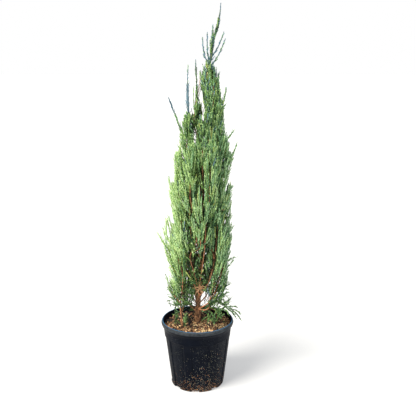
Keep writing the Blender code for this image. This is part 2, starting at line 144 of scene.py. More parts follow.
class Nodes:
    """Short calls for one material's node tree."""

    def __init__(self, name):
        self.material = bpy.data.materials.new(name)
        self.material.use_nodes = True
        self.tree = self.material.node_tree
        self.shader = self.tree.nodes["Principled BSDF"]

    def add(self, kind, **inputs):
        node = self.tree.nodes.new(kind)
        for key, value in inputs.items():
            self.put(node, key.replace("_", " "), value)
        return node

    def put(self, node, key, value):
        socket = node.inputs[int(key)] if key.isdigit() else node.inputs[key]
        if isinstance(value, bpy.types.NodeSocket):
            self.tree.links.new(value, socket)
        else:
            socket.default_value = (*value, 1.0) if isinstance(value, tuple) else value

    def place(self, scale=(1.0, 1.0, 1.0)):
        coordinates = self.tree.nodes.new("ShaderNodeTexCoord")
        mapping = self.add("ShaderNodeMapping", Vector=coordinates.outputs["Object"])
        mapping.inputs["Scale"].default_value = scale
        return mapping.outputs["Vector"]

    def noise(self, place, scale, detail=4.0, roughness=0.55):
        node = self.add("ShaderNodeTexNoise", Vector=place, Scale=scale, Detail=detail, Roughness=roughness)
        return node.outputs["Fac"]

    def ramp(self, value, stops):
        node = self.add("ShaderNodeValToRGB", Fac=value)
        stretch = node.color_ramp.elements
        while len(stretch) < len(stops):
            stretch.new(0.5)
        for element, (position, colour) in zip(stretch, stops):
            element.position = position
            element.color = (*(colour if isinstance(colour, tuple) else (colour,) * 3), 1.0)
        return node.outputs["Color"]

    def mix(self, share, first, second):
        node = self.tree.nodes.new("ShaderNodeMix")
        node.data_type = "RGBA"
        self.put(node, "0", share)
        self.put(node, "6", first)
        self.put(node, "7", second)
        return node.outputs[2]

    def maths(self, operation, first, second):
        node = self.tree.nodes.new("ShaderNodeMath")
        node.operation = operation
        self.put(node, "0", first)
        self.put(node, "1", second)
        return node.outputs[0]

    def by_height(self, low, high, value_low, value_high):
        """A value that changes with the height on the object."""
        split = self.add("ShaderNodeSeparateXYZ", Vector=self.place())
        ends = {"From_Min": low, "From_Max": high, "To_Min": value_low, "To_Max": value_high}
        return self.add("ShaderNodeMapRange", Value=split.outputs["Z"], **ends).outputs["Result"]

    def bump(self, height, strength, distance):
        node = self.add("ShaderNodeBump", Height=height, Strength=strength, Distance=distance)
        self.put(self.shader, "Normal", node.outputs["Normal"])

    def base(self, colour):
        self.put(self.shader, "Base Color", colour)

    def rough(self, value):
        self.put(self.shader, "Roughness", value)


def srgb(red, green, blue):
    """Linear colour of an 8-bit display colour."""

    def linear(value):
        value /= 255.0
        return value / 12.92 if value <= 0.04045 else ((value + 0.055) / 1.055) ** 2.4

    return (linear(red), linear(green), linear(blue))


def shade(tone, share):
    """The linear colour at this share of an 8-bit tone."""
    return srgb(*(channel * share for channel in tone))


def tone_stops(tone, *stops):
    """A ramp's stops from (place, share of the tone) pairs, none brighter than white."""
    return [(place, tuple(min(channel, 1.0) for channel in shade(tone, share))) for place, share in stops]


def grained_material(name, noise, stops, roughness, bump=None, stretch=(1.0, 1.0, 1.0)):
    """A colour that follows one noise, given as its scale, detail and roughness, and a bump that does too."""
    nodes = Nodes(name)
    grain = nodes.noise(nodes.place(stretch), *noise)
    nodes.base(nodes.ramp(grain, stops))
    nodes.rough(roughness)
    if bump:
        nodes.bump(grain, *bump)
    return nodes.material


def plain_material(name, colour, roughness, specular):
    nodes = Nodes(name)
    nodes.base(colour)
    nodes.rough(roughness)
    nodes.put(nodes.shader, "Specular IOR Level", specular)
    return nodes.material


def bark_material():
    """Stringy bark drawn out along the trunk, from dark brown to pale tan, and green where it is young."""
    nodes = Nodes("bark")
    strings = nodes.noise(nodes.place((1.0, 1.0, 0.22)), 170.0, 6.0, 0.72)
    patches = nodes.noise(nodes.place((1.0, 1.0, 0.45)), 70.0, 4.0)
    tones = ((0.38, (38, 26, 20)), (0.46, (98, 68, 46)), (0.56, (158, 112, 76)), (0.70, (206, 160, 120)))
    colour = nodes.ramp(strings, [(place, srgb(*tone)) for place, tone in tones])
    grey = nodes.ramp(patches, [(0.46, 0.0), (0.66, 0.6)])
    colour = nodes.mix(grey, colour, srgb(92, 72, 58))
    young = nodes.by_height(1.16, 1.30, 0.0, 0.85)
    nodes.base(nodes.mix(young, colour, srgb(96, 118, 84)))
    nodes.rough(0.82)
    nodes.bump(strings, 0.8, 0.0016)
    return nodes.material


def twig_material(name, tone, young=None):
    """Bark of one tone, streaked with darker and paler, and of the young tone higher up if there is one."""
    nodes = Nodes(name)
    strings = nodes.noise(nodes.place((1.0, 1.0, 0.25)), 500.0, 3.0)
    streaks = ((0.35, 0.62), (0.55, 1.0), (0.75, 1.22))
    colour = nodes.ramp(strings, [(place, shade(tone, share)) for place, share in streaks])
    if young:
        colour = nodes.mix(nodes.by_height(0.48, 0.70, 0.0, 0.85), colour, srgb(*young))
    nodes.base(colour)
    nodes.rough(0.7)
    return nodes.material


# ---------------------------------------------------------------- pot

RIM_RADIUS, _, POT_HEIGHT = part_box("pot")[1]
RIM_INNER_RADIUS = RIM_RADIUS - 0.0075
RIM_BAND_HEIGHT = 0.029
FOOT_RADIUS = 0.1105
WALL_TAPER = 0.122
WALL_THICKNESS = 0.0022
SHOULDER_HEIGHT = 0.2170
LIP = 0.0016  # the lip's rounding
ROLL_FOOT = 0.0120  # the rim's roll starts this far above its band's foot
ROLL_LEAN = 0.0040  # how far it leans in to the lip
FOOT_ROUNDING = 0.004
INSIDE_FOOT = 0.235  # how far down the inside of the wall is made
SHRINK, WOBBLES = 0.0006, ((0.0007, 2.0, 0.9), (0.0004, 5.0, 2.0))  # thin plastic is never quite round
PANELS = 8
PANEL_PITCH = TURN / PANELS
PANEL_SHARE = 0.66  # of each panel's pitch, the rest being the plain rib
PANEL_TURN = math.radians(-84.5)  # azimuth of the middle of the front panel
PANEL_DEPTH = 0.0026
PANEL_EDGE = math.radians(0.75)
GROOVE_DEPTH, GROOVE = 0.0011, math.radians(1.9)  # the line moulded along a panel's edges
NOTCH_TURN = math.radians(-94.0)
NOTCH_HALF_WIDTH = 0.0150
NOTCH_HEIGHT = 0.006
SCOOP_HEIGHT, SCOOP_DEPTH = 0.020, 0.0105  # the wall's foot draws in over each notch
POT_COLUMNS = 320


def smooth_step(value, low, high):
    share = np.clip((value - low) / (high - low), 0.0, 1.0)
    return share * share * (3.0 - 2.0 * share)


def arc(centre, radius, start, end, count):
    """Points round a centre in the (radius, height) plane, with angles in degrees."""
    angles = np.radians(np.linspace(start, end, count))
    return [(centre[0] + radius * math.cos(a), centre[1] + radius * math.sin(a)) for a in angles]


def line(start, end, count):
    shares = np.linspace(0.0, 1.0, count)
    return [(start[0] + (end[0] - start[0]) * s, start[1] + (end[1] - start[1]) * s) for s in shares]


def wall_radius(height):
    return FOOT_RADIUS + WALL_TAPER * height


def on_wall(height):
    return wall_radius(height), height


def off_middle(angles, middle):
    """How far each angle is from the middle of the panel or notch that it is nearest to."""
    return (angles - middle + PANEL_PITCH / 2.0) % PANEL_PITCH - PANEL_PITCH / 2.0


def pot_outline():
    """The (radius, height) profile in named runs: the underside, up the wall, the rim and down inside."""
    band_foot = POT_HEIGHT - RIM_BAND_HEIGHT
    shoulder = wall_radius(SHOULDER_HEIGHT)
    flat = FOOT_RADIUS - FOOT_ROUNDING  # the underside's flat part
    outer = line((0.002, 0.0), (flat - 0.018, 0.0), 3)
    outer += line((flat - 0.016, 0.0), (flat - 0.0005, 0.0), 4)
    outer += arc((flat, FOOT_ROUNDING), FOOT_ROUNDING, -90.0, -8.0, 6)
    outer += line(on_wall(0.006), on_wall(0.026), 9)
    outer += line(on_wall(0.034), on_wall(SHOULDER_HEIGHT - 0.006), 8)
    outer += line((shoulder, SHOULDER_HEIGHT - 0.0048), (shoulder + 0.0006, SHOULDER_HEIGHT + 0.0015), 7)
    rest = line(on_wall(SHOULDER_HEIGHT + 0.006), on_wall(band_foot), 4)
    roll_foot = band_foot + ROLL_FOOT
    band = (wall_radius(band_foot) + 0.0008, band_foot + 0.0006), (RIM_RADIUS - 0.0034, roll_foot - 0.003)
    rest += line(*band, 5)
    # The rolled rim bulges out over the band, then leans in to the lip.
    rise = POT_HEIGHT - LIP - band_foot - ROLL_FOOT
    for s in np.linspace(0.0, 1.0, 10):
        rest.append((RIM_RADIUS - 0.0030 * (1 - s) ** 4 - ROLL_LEAN * s**3, roll_foot + rise * s))
    rest += arc((RIM_RADIUS - ROLL_LEAN - LIP, POT_HEIGHT - LIP), LIP, 0.0, 90.0, 5)
    rest += arc((RIM_INNER_RADIUS + LIP / 2, POT_HEIGHT - LIP / 2), LIP / 2, 90.0, 180.0, 4)
    inside_foot = (wall_radius(INSIDE_FOOT) - WALL_THICKNESS, INSIDE_FOOT)
    rest += line((RIM_INNER_RADIUS, POT_HEIGHT - 0.004), inside_foot, 6)
    return outer, rest


def pot_panels(heights, angles):
    """How far the wall stands back at each place: in the panels, with a soft edge."""
    offset = np.abs(off_middle(angles, PANEL_TURN))
    half = PANEL_PITCH * PANEL_SHARE / 2.0
    across = 1.0 - smooth_step(offset, half - PANEL_EDGE, half + PANEL_EDGE)
    groove = 1.0 - smooth_step(np.abs(offset - half + GROOVE / 2), 0.0, GROOVE)
    below = 1.0 - smooth_step(heights, SHOULDER_HEIGHT - 0.0045, SHOULDER_HEIGHT - 0.0020)
    above_foot = smooth_step(heights, 0.006, 0.012)
    return (PANEL_DEPTH * across + GROOVE_DEPTH * groove) * below * above_foot


def make_pot(material):
    outer_run, rest = pot_outline()
    outline = np.array(outer_run + rest)
    angles = np.linspace(0.0, TURN, POT_COLUMNS, endpoint=False)
    radii, turns = np.meshgrid(outline[:, 0], angles, indexing="ij")
    heights = np.repeat(outline[:, 1:2], POT_COLUMNS, 1)
    outer = (np.arange(len(outline)) < len(outer_run))[:, None]
    radii = radii - np.where(outer, pot_panels(heights, turns), 0.0)
    share = heights / POT_HEIGHT
    wobble = sum(size * share * np.sin(waves * turns + start) for size, waves, start in WOBBLES)
    radii = radii - SHRINK + wobble * (radii > 0.1)
    # Drain notches: the bottom edge lifts over each one.
    along = np.abs(off_middle(turns, NOTCH_TURN) * FOOT_RADIUS)
    notch = 1.0 - smooth_step(along, NOTCH_HALF_WIDTH - 0.0015, NOTCH_HALF_WIDTH + 0.0015)
    lift = notch * smooth_step(radii, FOOT_RADIUS - 0.020, FOOT_RADIUS - 0.016) * outer
    radii = radii - lift * SCOOP_DEPTH * (1.0 - smooth_step(heights, -0.6 * SCOOP_HEIGHT, SCOOP_HEIGHT))
    heights = np.maximum(heights, lift * NOTCH_HEIGHT)
    points = np.stack((radii * np.cos(turns), radii * np.sin(turns), heights), -1).reshape(-1, 3)
    cap = cap_faces(0, POT_COLUMNS, len(points))[:, ::-1]
    points = np.concatenate((points, [(0.0, 0.0, 0.0)]))
    pot = mesh_object("pot_shell", points, grid_faces(len(outline), POT_COLUMNS), cap)
    pot.data.set_sharp_from_angle(angle=math.radians(50.0))
    finish_piece(pot, material, ["pot"])


def pot_material():
    """Navy-black recycled plastic: fine grain, pale dusty specks, a scuffed paler rim with a painted blue
    highlight on its lip, and specks of soil.
    """
    nodes = Nodes("pot_plastic")
    place = nodes.place()
    fine = nodes.noise(place, 900.0, 3.0)
    mottle = nodes.noise(place, 26.0, 5.0)
    plastic = nodes.mix(nodes.ramp(mottle, [(0.35, 0.0), (0.70, 1.0)]), srgb(2, 6, 16), srgb(8, 13, 24))
    # The rim is scuffed grey, and its lip is painted a paler blue: a painted highlight that stands for the
    # sky's reflection.
    scuffs = nodes.noise(nodes.place((1.0, 1.0, 2.5)), 60.0, 5.0, 0.7)
    scuffed = nodes.ramp(scuffs, [(0.36, 0.35), (0.60, 1.0)])
    scuffed = nodes.maths("MULTIPLY", nodes.by_height(0.2600, 0.2640, 0.0, 1.0), scuffed)
    across = nodes.add("ShaderNodeVectorMath", **{"0": nodes.place((1.0, 1.0, 0.0))})
    across.operation = "LENGTH"
    beyond = nodes.maths("SUBTRACT", across.outputs["Value"], RIM_INNER_RADIUS + 0.001)
    outside = nodes.ramp(nodes.maths("MULTIPLY", beyond, 900.0), [(0.0, 0.0), (1.0, 1.0)])
    plastic = nodes.mix(nodes.maths("MULTIPLY", scuffed, outside), plastic, srgb(60, 64, 67))
    lip = nodes.by_height(POT_HEIGHT - 0.0013, POT_HEIGHT - 0.0003, 0.0, 0.95)
    plastic = nodes.mix(lip, plastic, srgb(58, 98, 128))
    # Dust clings in specks, most of them at the middle of the wall.
    specks = nodes.noise(place, 420.0, 4.0, 0.75)
    cloud = nodes.noise(nodes.place((1.0, 1.0, 0.5)), 17.0, 3.0)
    cloudy = nodes.ramp(cloud, [(0.44, 0.0), (0.66, 1.0)])
    dust = nodes.maths("MULTIPLY", nodes.ramp(specks, [(0.58, 0.0), (0.66, 1.0)]), cloudy)
    plastic = nodes.mix(dust, plastic, srgb(84, 88, 90))
    # Specks of soil are scattered over the wall, and thin out a little with the height.
    height = nodes.by_height(0.0, 0.100, -0.050, -0.12)
    grains = nodes.noise(place, 250.0, 4.0, 0.7)
    soil = nodes.ramp(nodes.maths("ADD", grains, height), [(0.645, 0.0), (0.675, 1.0)])
    tint = nodes.ramp(nodes.noise(place, 120.0, 2.0), [(0.35, srgb(86, 60, 42)), (0.60, srgb(158, 102, 60))])
    nodes.base(nodes.mix(soil, plastic, tint))
    nodes.rough(nodes.ramp(nodes.maths("ADD", soil, dust), [(0.0, 0.46), (0.6, 0.85)]))
    nodes.bump(fine, 0.25, 0.0004)
    nodes.shader.inputs["Specular IOR Level"].default_value = 0.06
    return nodes.material


# Crumbs that stick to the wall: how many, their least and greatest radius, the turn where most of them are,
# how high they reach on average, and their tone.
CRUMBS = {
    "soil_crumbs": (420, (0.0005, 0.0015), math.radians(-82.0), 0.026, (196, 138, 90)),
    "pale_crumbs": (900, (0.0004, 0.0011), math.radians(-64.0), 0.100, (164, 160, 140)),
}
CLUMPS = 300  # that the crumbs of a kind lie in
CLUMP_SPREAD = (0.110, 0.014)  # how far crumbs stray from their clump, round the wall in radians and up it
CRUMB_SIDE_SPREAD = 0.60  # how far clumps stray from the turn where most of them are
STRAY_CLUMPS = 0.15  # the share of clumps that lie at any turn
CRUMB_SIDES = 5
CRUMB_BACK, CRUMB_THICKNESS = 0.0008, 0.0010
CRUMB_LOWEST, CRUMB_REACH = 0.003, SHOULDER_HEIGHT - 0.014


def make_pot_crumbs(name, seed):
    """Flattened crumbs that stick to the wall's outside below its shoulder."""
    rng = np.random.default_rng(seed)
    count, radii, side_turn, fall, tone = CRUMBS[name]
    clump = rng.integers(0, CLUMPS, count)
    height = rng.exponential(fall, CLUMPS)[clump] + rng.normal(0.0, CLUMP_SPREAD[1], count)
    height = np.abs(height) % CRUMB_REACH + CRUMB_LOWEST
    strays = rng.random(CLUMPS) < STRAY_CLUMPS
    anywhere, beside = rng.uniform(-math.pi, math.pi, CLUMPS), rng.normal(0.0, CRUMB_SIDE_SPREAD, CLUMPS)
    aside = np.where(strays, anywhere, beside)
    angle = side_turn + aside[clump] + rng.normal(0.0, CLUMP_SPREAD[0], count)
    radius = wall_radius(height) - pot_panels(height, angle) - CRUMB_BACK
    out = np.stack((np.cos(angle), np.sin(angle), np.zeros(count)), 1)
    side = np.stack((-np.sin(angle), np.cos(angle), np.zeros(count)), 1)
    centre = out * radius[:, None] + UP * height[:, None]
    size = rng.uniform(*radii, count)
    points = [centre + out * CRUMB_THICKNESS]
    for turn in np.linspace(0.0, TURN, CRUMB_SIDES + 1)[:-1]:
        reach = (size * rng.uniform(0.6, 1.2, count))[:, None]
        points.append(centre + (side * math.cos(turn) + UP * math.sin(turn)) * reach)
    points = np.stack(points, 1)
    triangles = copies(cap_faces(1, CRUMB_SIDES, 0), count, CRUMB_SIDES + 1)
    crumbs = mesh_object(name, points.reshape(-1, 3), None, triangles, smooth=False)
    material = grained_material(name, (300.0, 3.0), tone_stops(tone, (0.38, 0.55), (0.62, 1.15)), 0.95)
    finish_piece(crumbs, material)


# ---------------------------------------------------------------- limbs


def node_mesh(name):
    """A CAD node's points, edges and triangles as arrays."""
    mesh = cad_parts[name].data
    mesh.calc_loop_triangles()
    points = np.empty(len(mesh.vertices) * 3)
    mesh.vertices.foreach_get("co", points)
    edges = np.empty(len(mesh.edges) * 2, int)
    mesh.edges.foreach_get("vertices", edges)
    triangles = np.empty(len(mesh.loop_triangles) * 3, int)
    mesh.loop_triangles.foreach_get("vertices", triangles)
    return points.reshape(-1, 3), edges.reshape(-1, 2), triangles.reshape(-1, 3)


def slices(name, count, margin=0.02):
    """Centres and half widths of a node's sections across its longest side, from its lower or inner end."""
    points, edges, _ = node_mesh(name)
    size = points.max(0) - points.min(0)
    axis = int(np.argmax(size))
    low, high = points[:, axis].min(), points[:, axis].max()
    rows = []
    for place in np.linspace(low + margin * (high - low), high - margin * (high - low), count):
        start, end = points[edges[:, 0]], points[edges[:, 1]]
        crossing = (start[:, axis] - place) * (end[:, axis] - place) < 0
        start, end = start[crossing], end[crossing]
        share = (place - start[:, axis]) / (end[:, axis] - start[:, axis])
        met = start + (end - start) * share[:, None]
        if len(met) > 2:
            rows.append(np.concatenate(((met.max(0) + met.min(0)) / 2, (met.max(0) - met.min(0)) / 2)))
    rows = np.array(rows)
    if axis != 2 and np.abs(rows[-1, 0]) < np.abs(rows[0, 0]):
        rows = rows[::-1]
    return rows[:, :3], rows[:, 3:]


def smooth_path(points, count):
    """A Catmull-Rom curve through the points, at equal steps of its length."""
    points = np.asarray(points, float)
    padded = np.concatenate(([2 * points[0] - points[1]], points, [2 * points[-1] - points[-2]]))
    fine = []
    for i in range(len(points) - 1):
        a, b, c, d = padded[i : i + 4]
        t = np.linspace(0.0, 1.0, 12, endpoint=False)[:, None]
        bend, twist = 2 * a - 5 * b + 4 * c - d, 3 * b - a - 3 * c + d
        fine.append(0.5 * (2 * b + (c - a) * t + bend * t**2 + twist * t**3))
    fine = np.concatenate(fine + [points[-1:]])
    lengths = np.concatenate(([0.0], np.cumsum(np.linalg.norm(np.diff(fine, axis=0), axis=1))))
    wanted = np.linspace(0.0, lengths[-1], count)
    return np.stack([np.interp(wanted, lengths, fine[:, i]) for i in range(3)], 1)


def unit(vectors):
    return vectors / np.maximum(np.linalg.norm(vectors, axis=-1, keepdims=True), 1e-12)


def directions(path):
    return unit(np.gradient(path, axis=0))


def sideways(along):
    """Two directions square to each of these and to each other."""
    helper = np.where(np.abs(along[..., 2:3]) < 0.9, UP, np.array((1.0, 0.0, 0.0)))
    first = unit(np.cross(along, helper))
    return first, np.cross(along, first)


def carried_frame(path):
    """Side directions that turn with the path and don't flip."""
    along = directions(path)
    first = np.empty_like(path)
    first[0] = sideways(along[0])[0]
    for i in range(1, len(path)):
        kept = first[i - 1] - along[i] * np.dot(first[i - 1], along[i])
        first[i] = kept / np.linalg.norm(kept)
    return first, np.cross(along, first)


class Limb:
    """A limb's course, its radius along it and its side directions."""

    def __init__(self, points, foot_radius, tip_radius, count=24, power=1.0):
        self.path = smooth_path(points, count)
        share = np.linspace(0.0, 1.0, count)
        self.radius = foot_radius + (tip_radius - foot_radius) * share**power
        self.along = directions(self.path)
        self.length = float(np.linalg.norm(np.diff(self.path, axis=0), axis=1).sum())

    def middle(self, heights):
        """The places on an upright limb at these heights."""
        x, y = (np.interp(heights, self.path[:, 2], self.path[:, i]) for i in (0, 1))
        return np.stack((x, y, np.asarray(heights, float)), -1)

    def at(self, shares):
        """Points and directions at these shares of the length."""
        places = np.clip(shares, 0.0, 1.0) * (len(self.path) - 1)
        low = np.minimum(places.astype(int), len(self.path) - 2)
        mix = (places - low)[:, None]
        point = self.path[low] * (1 - mix) + self.path[low + 1] * mix
        along = unit(self.along[low] * (1 - mix) + self.along[low + 1] * mix)
        return point, along

    def one(self, share):
        """The point and the direction at one share of the length."""
        point, along = self.at(np.array([share]))
        return point[0], along[0]


def tube_arrays(path, radius, sides, relief=None):
    """Points and faces of a closed tube, whose far end comes to a blunt point."""
    first, second = carried_frame(path)
    angles = np.linspace(0.0, TURN, sides, endpoint=False)
    spread = np.repeat(np.asarray(radius)[:, None], sides, 1)
    if relief is not None:
        spread = spread + relief(path, angles, spread)
    ring = first[:, None] * np.cos(angles)[None, :, None] + second[:, None] * np.sin(angles)[None, :, None]
    points = (path[:, None] + ring * spread[..., None]).reshape(-1, 3)
    tip = path[-1] + directions(path)[-1] * radius[-1]
    cap = cap_faces((len(path) - 1) * sides, sides, len(points))
    foot = cap_faces(0, sides, len(points) + 1)[:, (1, 0, 2)]
    points = np.concatenate((points, [tip, path[0]]))
    return points, grid_faces(len(path), sides), np.concatenate((cap, foot))


def joined(parts):
    """Several (points, quads, triangles) as one."""
    points, quads, triangles, start = [], [], [], 0
    for part_points, part_quads, part_triangles in parts:
        points.append(part_points)
        quads.append(part_quads + start)
        triangles.append(part_triangles + start)
        start += len(part_points)
    return np.concatenate(points), np.concatenate(quads), np.concatenate(triangles)


RIDGE_STEPS, LUMP_STEPS = 26.0, 34.0  # how closely ridges and lumps follow each other along a limb
RELIEF_FULL = 0.008  # limbs thinner than this have shallower relief


def bark_relief(depth, strings, seed):
    """Stringy ridges that run along the limb and wander round it, with a few lumps."""

    def relief(path, angles, spread):
        heights = np.concatenate(([0.0], np.cumsum(np.linalg.norm(np.diff(path, axis=0), axis=1))))
        out = np.empty_like(spread)
        for i, height in enumerate(heights):
            for j, angle in enumerate(angles):
                x, y = math.cos(angle), math.sin(angle)
                string = noise.noise(Vector((x * strings, y * strings, height * RIDGE_STEPS + seed)))
                lump = noise.noise(Vector((x, y, height * LUMP_STEPS + seed * 3)))
                out[i, j] = (1.0 - abs(string) * 2.0) * 0.6 + lump * 0.9
        return out * depth * np.minimum(spread / RELIEF_FULL, 1.0)

    return relief


TRUNK_SIDES = 40
TRUNK_RINGS = 240
TRUNK_SWELL = 1.05  # the bark stands a little outside the solid
THICKEST_TRUNK = 0.0102  # its radius where it goes into the mulch
TRUNK_RELIEF, BOUGH_RELIEF = 0.0023, 0.0006
BOUGH_SIDES, THIN_SIDES = 12, 6
THIN_LIMB = 0.002  # limbs with a thinner foot than this have fewer sides


def make_trunk(material):
    """The trunk's course and radius come from its solid's sections."""
    centres, halves = slices("trunk", 70, 0.001)
    low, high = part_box("trunk")
    centres[0, 2], centres[-1, 2] = low.z, high.z
    path = smooth_path(centres, TRUNK_RINGS)
    radius = np.interp(path[:, 2], centres[:, 2], halves[:, :2].mean(1)) * TRUNK_SWELL
    radius = np.minimum(radius, THICKEST_TRUNK)
    parts = tube_arrays(path, radius, TRUNK_SIDES, bark_relief(TRUNK_RELIEF, 3.0, 3.1))
    finish_piece(mesh_object("trunk_bark", *parts), material, ["trunk"])
    limb = Limb(centres, radius[0], radius[-1], 80)
    limb.radius = np.interp(limb.path[:, 2], path[:, 2], radius)
    return limb


LIMB_RISE = 0.012  # a limb leaves another at least this far below its foot
PLUME_RISE, PLUME_RISE_FOOT = 0.08, 0.32  # a plume's limb up to this far, and less near this height


def nearest(points, place):
    """The index of the nearest of these points, and its distance."""
    gaps = np.linalg.norm(points - place, axis=1)
    index = int(np.argmin(gaps))
    return index, float(gaps[index])


def all_points(limbs):
    return np.concatenate([limb.path for limb in limbs])


def holder(points, foot, rise=LIMB_RISE):
    """The nearest of the limbs' points that is low enough for a limb to rise from it to its foot."""
    below = points[points[:, 2] < foot[2] - rise]
    return below[nearest(below, foot)[0]]


PLUMES = sorted(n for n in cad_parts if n.startswith("mass_") and n != "mass_leader")
SPRAYS = sorted(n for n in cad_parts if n.split("_")[0] in ("shoot", "wisp", "horn", "spray"))
BOUGHS = sorted(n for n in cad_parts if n.startswith("bough_"))
STEM_TIP_RADIUS, THICKEST_STEM = 0.0007, 0.0042
COURSE_GAP = 0.02  # between a shown bough's end and the rest of its limb
CARRYING_GAP = 0.075  # a bough carries a plume if it ends nearer than this to the plume's foot
SHOWN_LIMB_RADII = (0.0024, 0.0010)
SPRAY_RADII = (0.0016, 0.0005)

# The boughs that show in the photograph: the radius at the foot, and the course in millimetres.
SHOWN_BOUGHS = {
    "bough_right": (0.0031, (
        (5, 0, 372), (8, -12, 383), (26, -22, 406), (48, -30, 450),
        (64, -34, 511), (72, -36, 563), (82, -38, 672), (84, -30, 735),
    )),
    "bough_low_right": (0.0030, (
        (5, -2, 318), (12, -12, 330), (46, -28, 358), (69, -32, 398), (82, -34, 432), (104, -36, 515),
    )),
    "bough_front": (0.0023, ((6, -4, 425), (16, -20, 470), (24, -30, 534), (32, -34, 606), (36, -34, 690))),
    "bough_front_left": (0.0028, ((2, -4, 418), (-14, -26, 492), (-28, -34, 566))),
    "bough_left": (0.0032, (
        (-6, 0, 250), (-36, -16, 240), (-58, -26, 250), (-65, -28, 290), (-69, -28, 362),
        (-59, -28, 434), (-61, -26, 496),
    )),
}
# A limb high on the left and the fork of the left stem show too.
SHOWN_LIMBS = {
    "shown_high": ((-20, 0, 600), (-30, -30, 730), (-26, -36, 850), (-24, -20, 920)),
    "shown_fork": ((-69, -28, 358), (-84, -32, 378), (-103, -34, 408)),
}


def carried_plumes(spines):
    """The bough that carries each plume, for those whose foot a bough ends at."""
    ends = np.array([slices(name, 7, 0.04)[0][-1] for name in BOUGHS])
    carried = {}
    for name, spine in spines.items():
        index, gap = nearest(ends, spine[0])
        if gap < CARRYING_GAP and BOUGHS[index] not in carried.values():
            carried[name] = BOUGHS[index]
    return carried


def plume_limbs(trunk):
    """A limb up the middle of each plume, along the bough that carries it or from the nearest limb below."""
    spines = {name: slices(name, 9, 0.05)[0] for name in PLUMES}
    carried = carried_plumes(spines)
    limbs = {}
    for name in sorted(PLUMES, key=lambda n: n not in carried):
        spine, bough = spines[name], carried.get(name)
        if bough in SHOWN_BOUGHS:
            thick, shown = SHOWN_BOUGHS[bough]
            shown = millimetres(shown)
            course = [*shown, *spine[spine[:, 2] > shown[-1, 2] + COURSE_GAP]]
        elif bough:
            centres, halves = slices(bough, 7, 0.04)
            course = [trunk.path[nearest(trunk.path, centres[0])[0]], *centres[::2], *spine[1:]]
            thick = halves.max(1)[1] * 0.9
        else:
            foot = spine[0]
            rise = min(PLUME_RISE, max(LIMB_RISE, (foot[2] - PLUME_RISE_FOOT) * 0.5))
            origin = holder(all_points((trunk, *limbs.values())), foot, rise)
            course = [origin, origin * 0.45 + foot * 0.55 - UP * 0.008, *spine]
            thick = 0.0019 + 0.006 * (spine[-1][2] - spine[0][2]) * (1.45 - foot[2])
        limbs[name] = Limb(course, min(thick, THICKEST_STEM), STEM_TIP_RADIUS, 40, 0.8)
    for name, course in SHOWN_LIMBS.items():
        limbs[name] = Limb(millimetres(course), *SHOWN_LIMB_RADII, 40)
    return limbs


def spray_limbs(trunk, limbs):
    """One limb for each thin spray, from the nearest limb below its foot."""
    found = {}
    points = all_points((trunk, *limbs.values()))
    for name in SPRAYS:
        spine, _ = slices(name, 8, 0.03)
        start = holder(points, spine[0])
        middle = start * 0.5 + spine[0] * 0.5 - UP * 0.004
        found[name] = Limb([start, middle, *spine], *SPRAY_RADII, 30)
    return found


# ---------------------------------------------------------------- foliage

# Plain colours from deep to pale, each for a joined piece of its own; the levels also carry painted light and
# shade. Sprays are dealt out to them by place.
COOL = {
    "cool_deep": (36, 60, 42),
    "cool_shade": (68, 104, 68),
    "cool": (102, 144, 94),
    "cool_light": (136, 176, 120),
    "cool_pale": (168, 202, 150),
}
WARM = {
    "warm_deep": (42, 62, 34),
    "warm_shade": (80, 112, 56),
    "warm": (120, 156, 84),
    "warm_light": (158, 192, 116),
    "warm_pale": (192, 218, 152),
}
OTHERS = {
    "yellow_green": (174, 186, 104),
    "blue_grey": (74, 104, 118),
    "blue_pale": (112, 144, 158),
}
GREENS = {**COOL, **WARM, **OTHERS}
GREEN_NAMES = list(GREENS)
LEVELS = len(COOL)

BRANCH_STEP = 0.0054  # along a stem
SHORTEST_BRANCH, LONGEST_BRANCH = 0.008, 0.085
PLUME_TINT = 0.45  # how many levels a plume can be paler or deeper than the rest
SPRAY_STEP, SPRAY_SHARES = 0.0080, (0.25, 0.97)  # along a branch, and the part of it that they are on
SPRAY_LENGTHS, SHORT_SPRAYS = (0.036, 0.068), (0.018, 0.038)
SHORTEST_SPRAY = 0.015
SKIN_OVERSHOOT, TOP_OVERSHOOT = 0.008, 0.004
INNER_DEPTH = 0.030  # deeper than this under the skin, sprays are few
INNER_SHARE = 0.32
# The branches that fill the middle are dealt deeper greens, painted shade inside the crown.
FILL_SHARE, FILL_PAINTED_SHADE = 0.60, -0.3  # for the branches that fill the middle
# Down to each depth, how full sprays are and how big their leaves: fewer and bigger inside.
LEAFINGS = ((0.018, 1.0, 1.0), (INNER_DEPTH, 0.45, 1.35), (math.inf, 0.34, 1.7))
BARE_TESTS = (0.5, 1.0, 1.4, 1.8)  # where a spray is tested for bare places, in halves of its length
LEFT_SPREAD, RIGHT_SPREAD = 0.34, 0.18  # how far sprays lean out at the skin
LOW_SPREAD, SPREAD_FOOT, SPREAD_RANGE = 0.9, 0.50, 0.2  # below this height they lean out more and more
FAN_RADII = (0.0016, 0.0008)  # of a low spray's twig
CROWN_HALF_WIDTH = 0.12
HULL_SCALE = 1.05
TOP_NARROWING, TOP_NARROWS = 0.26, (1.14, 1.26)  # the crown narrows between these heights
CROWN_LIMIT = 0.25  # wider than the crown anywhere
SPRIG_STEP, SPRIGS, SPRIG_LENGTHS = 0.0085, 3, (0.018, 0.036)
SPRIG_HEIGHTS, SPRIG_DEPTHS = (0.296, 0.47), (0.006, 0.024)
TOP_HEIGHT = 1.08  # above here sprays stop nearer to the skin
ROPE_STEP, ROPE_LENGTHS = 0.011, (0.009, 0.024)  # the sprays laid along a shoot
TUFT_STEP = 0.0070  # along a spray
TUFT_LEAFLETS = 3
MOST_TUFTS = 10
TUFT_SHIFTS = (0.10, 0.22, 0.30, 0.28, 0.10)  # shares of tufts from two levels deeper to two paler
LEAFLET_LENGTHS = (0.0032, 0.0066)
LEAFLET_RADIUS = 0.00125
WAVE = 0.028  # how far a spray strays sideways, as a share of its length
CORD_RADIUS = 0.00145

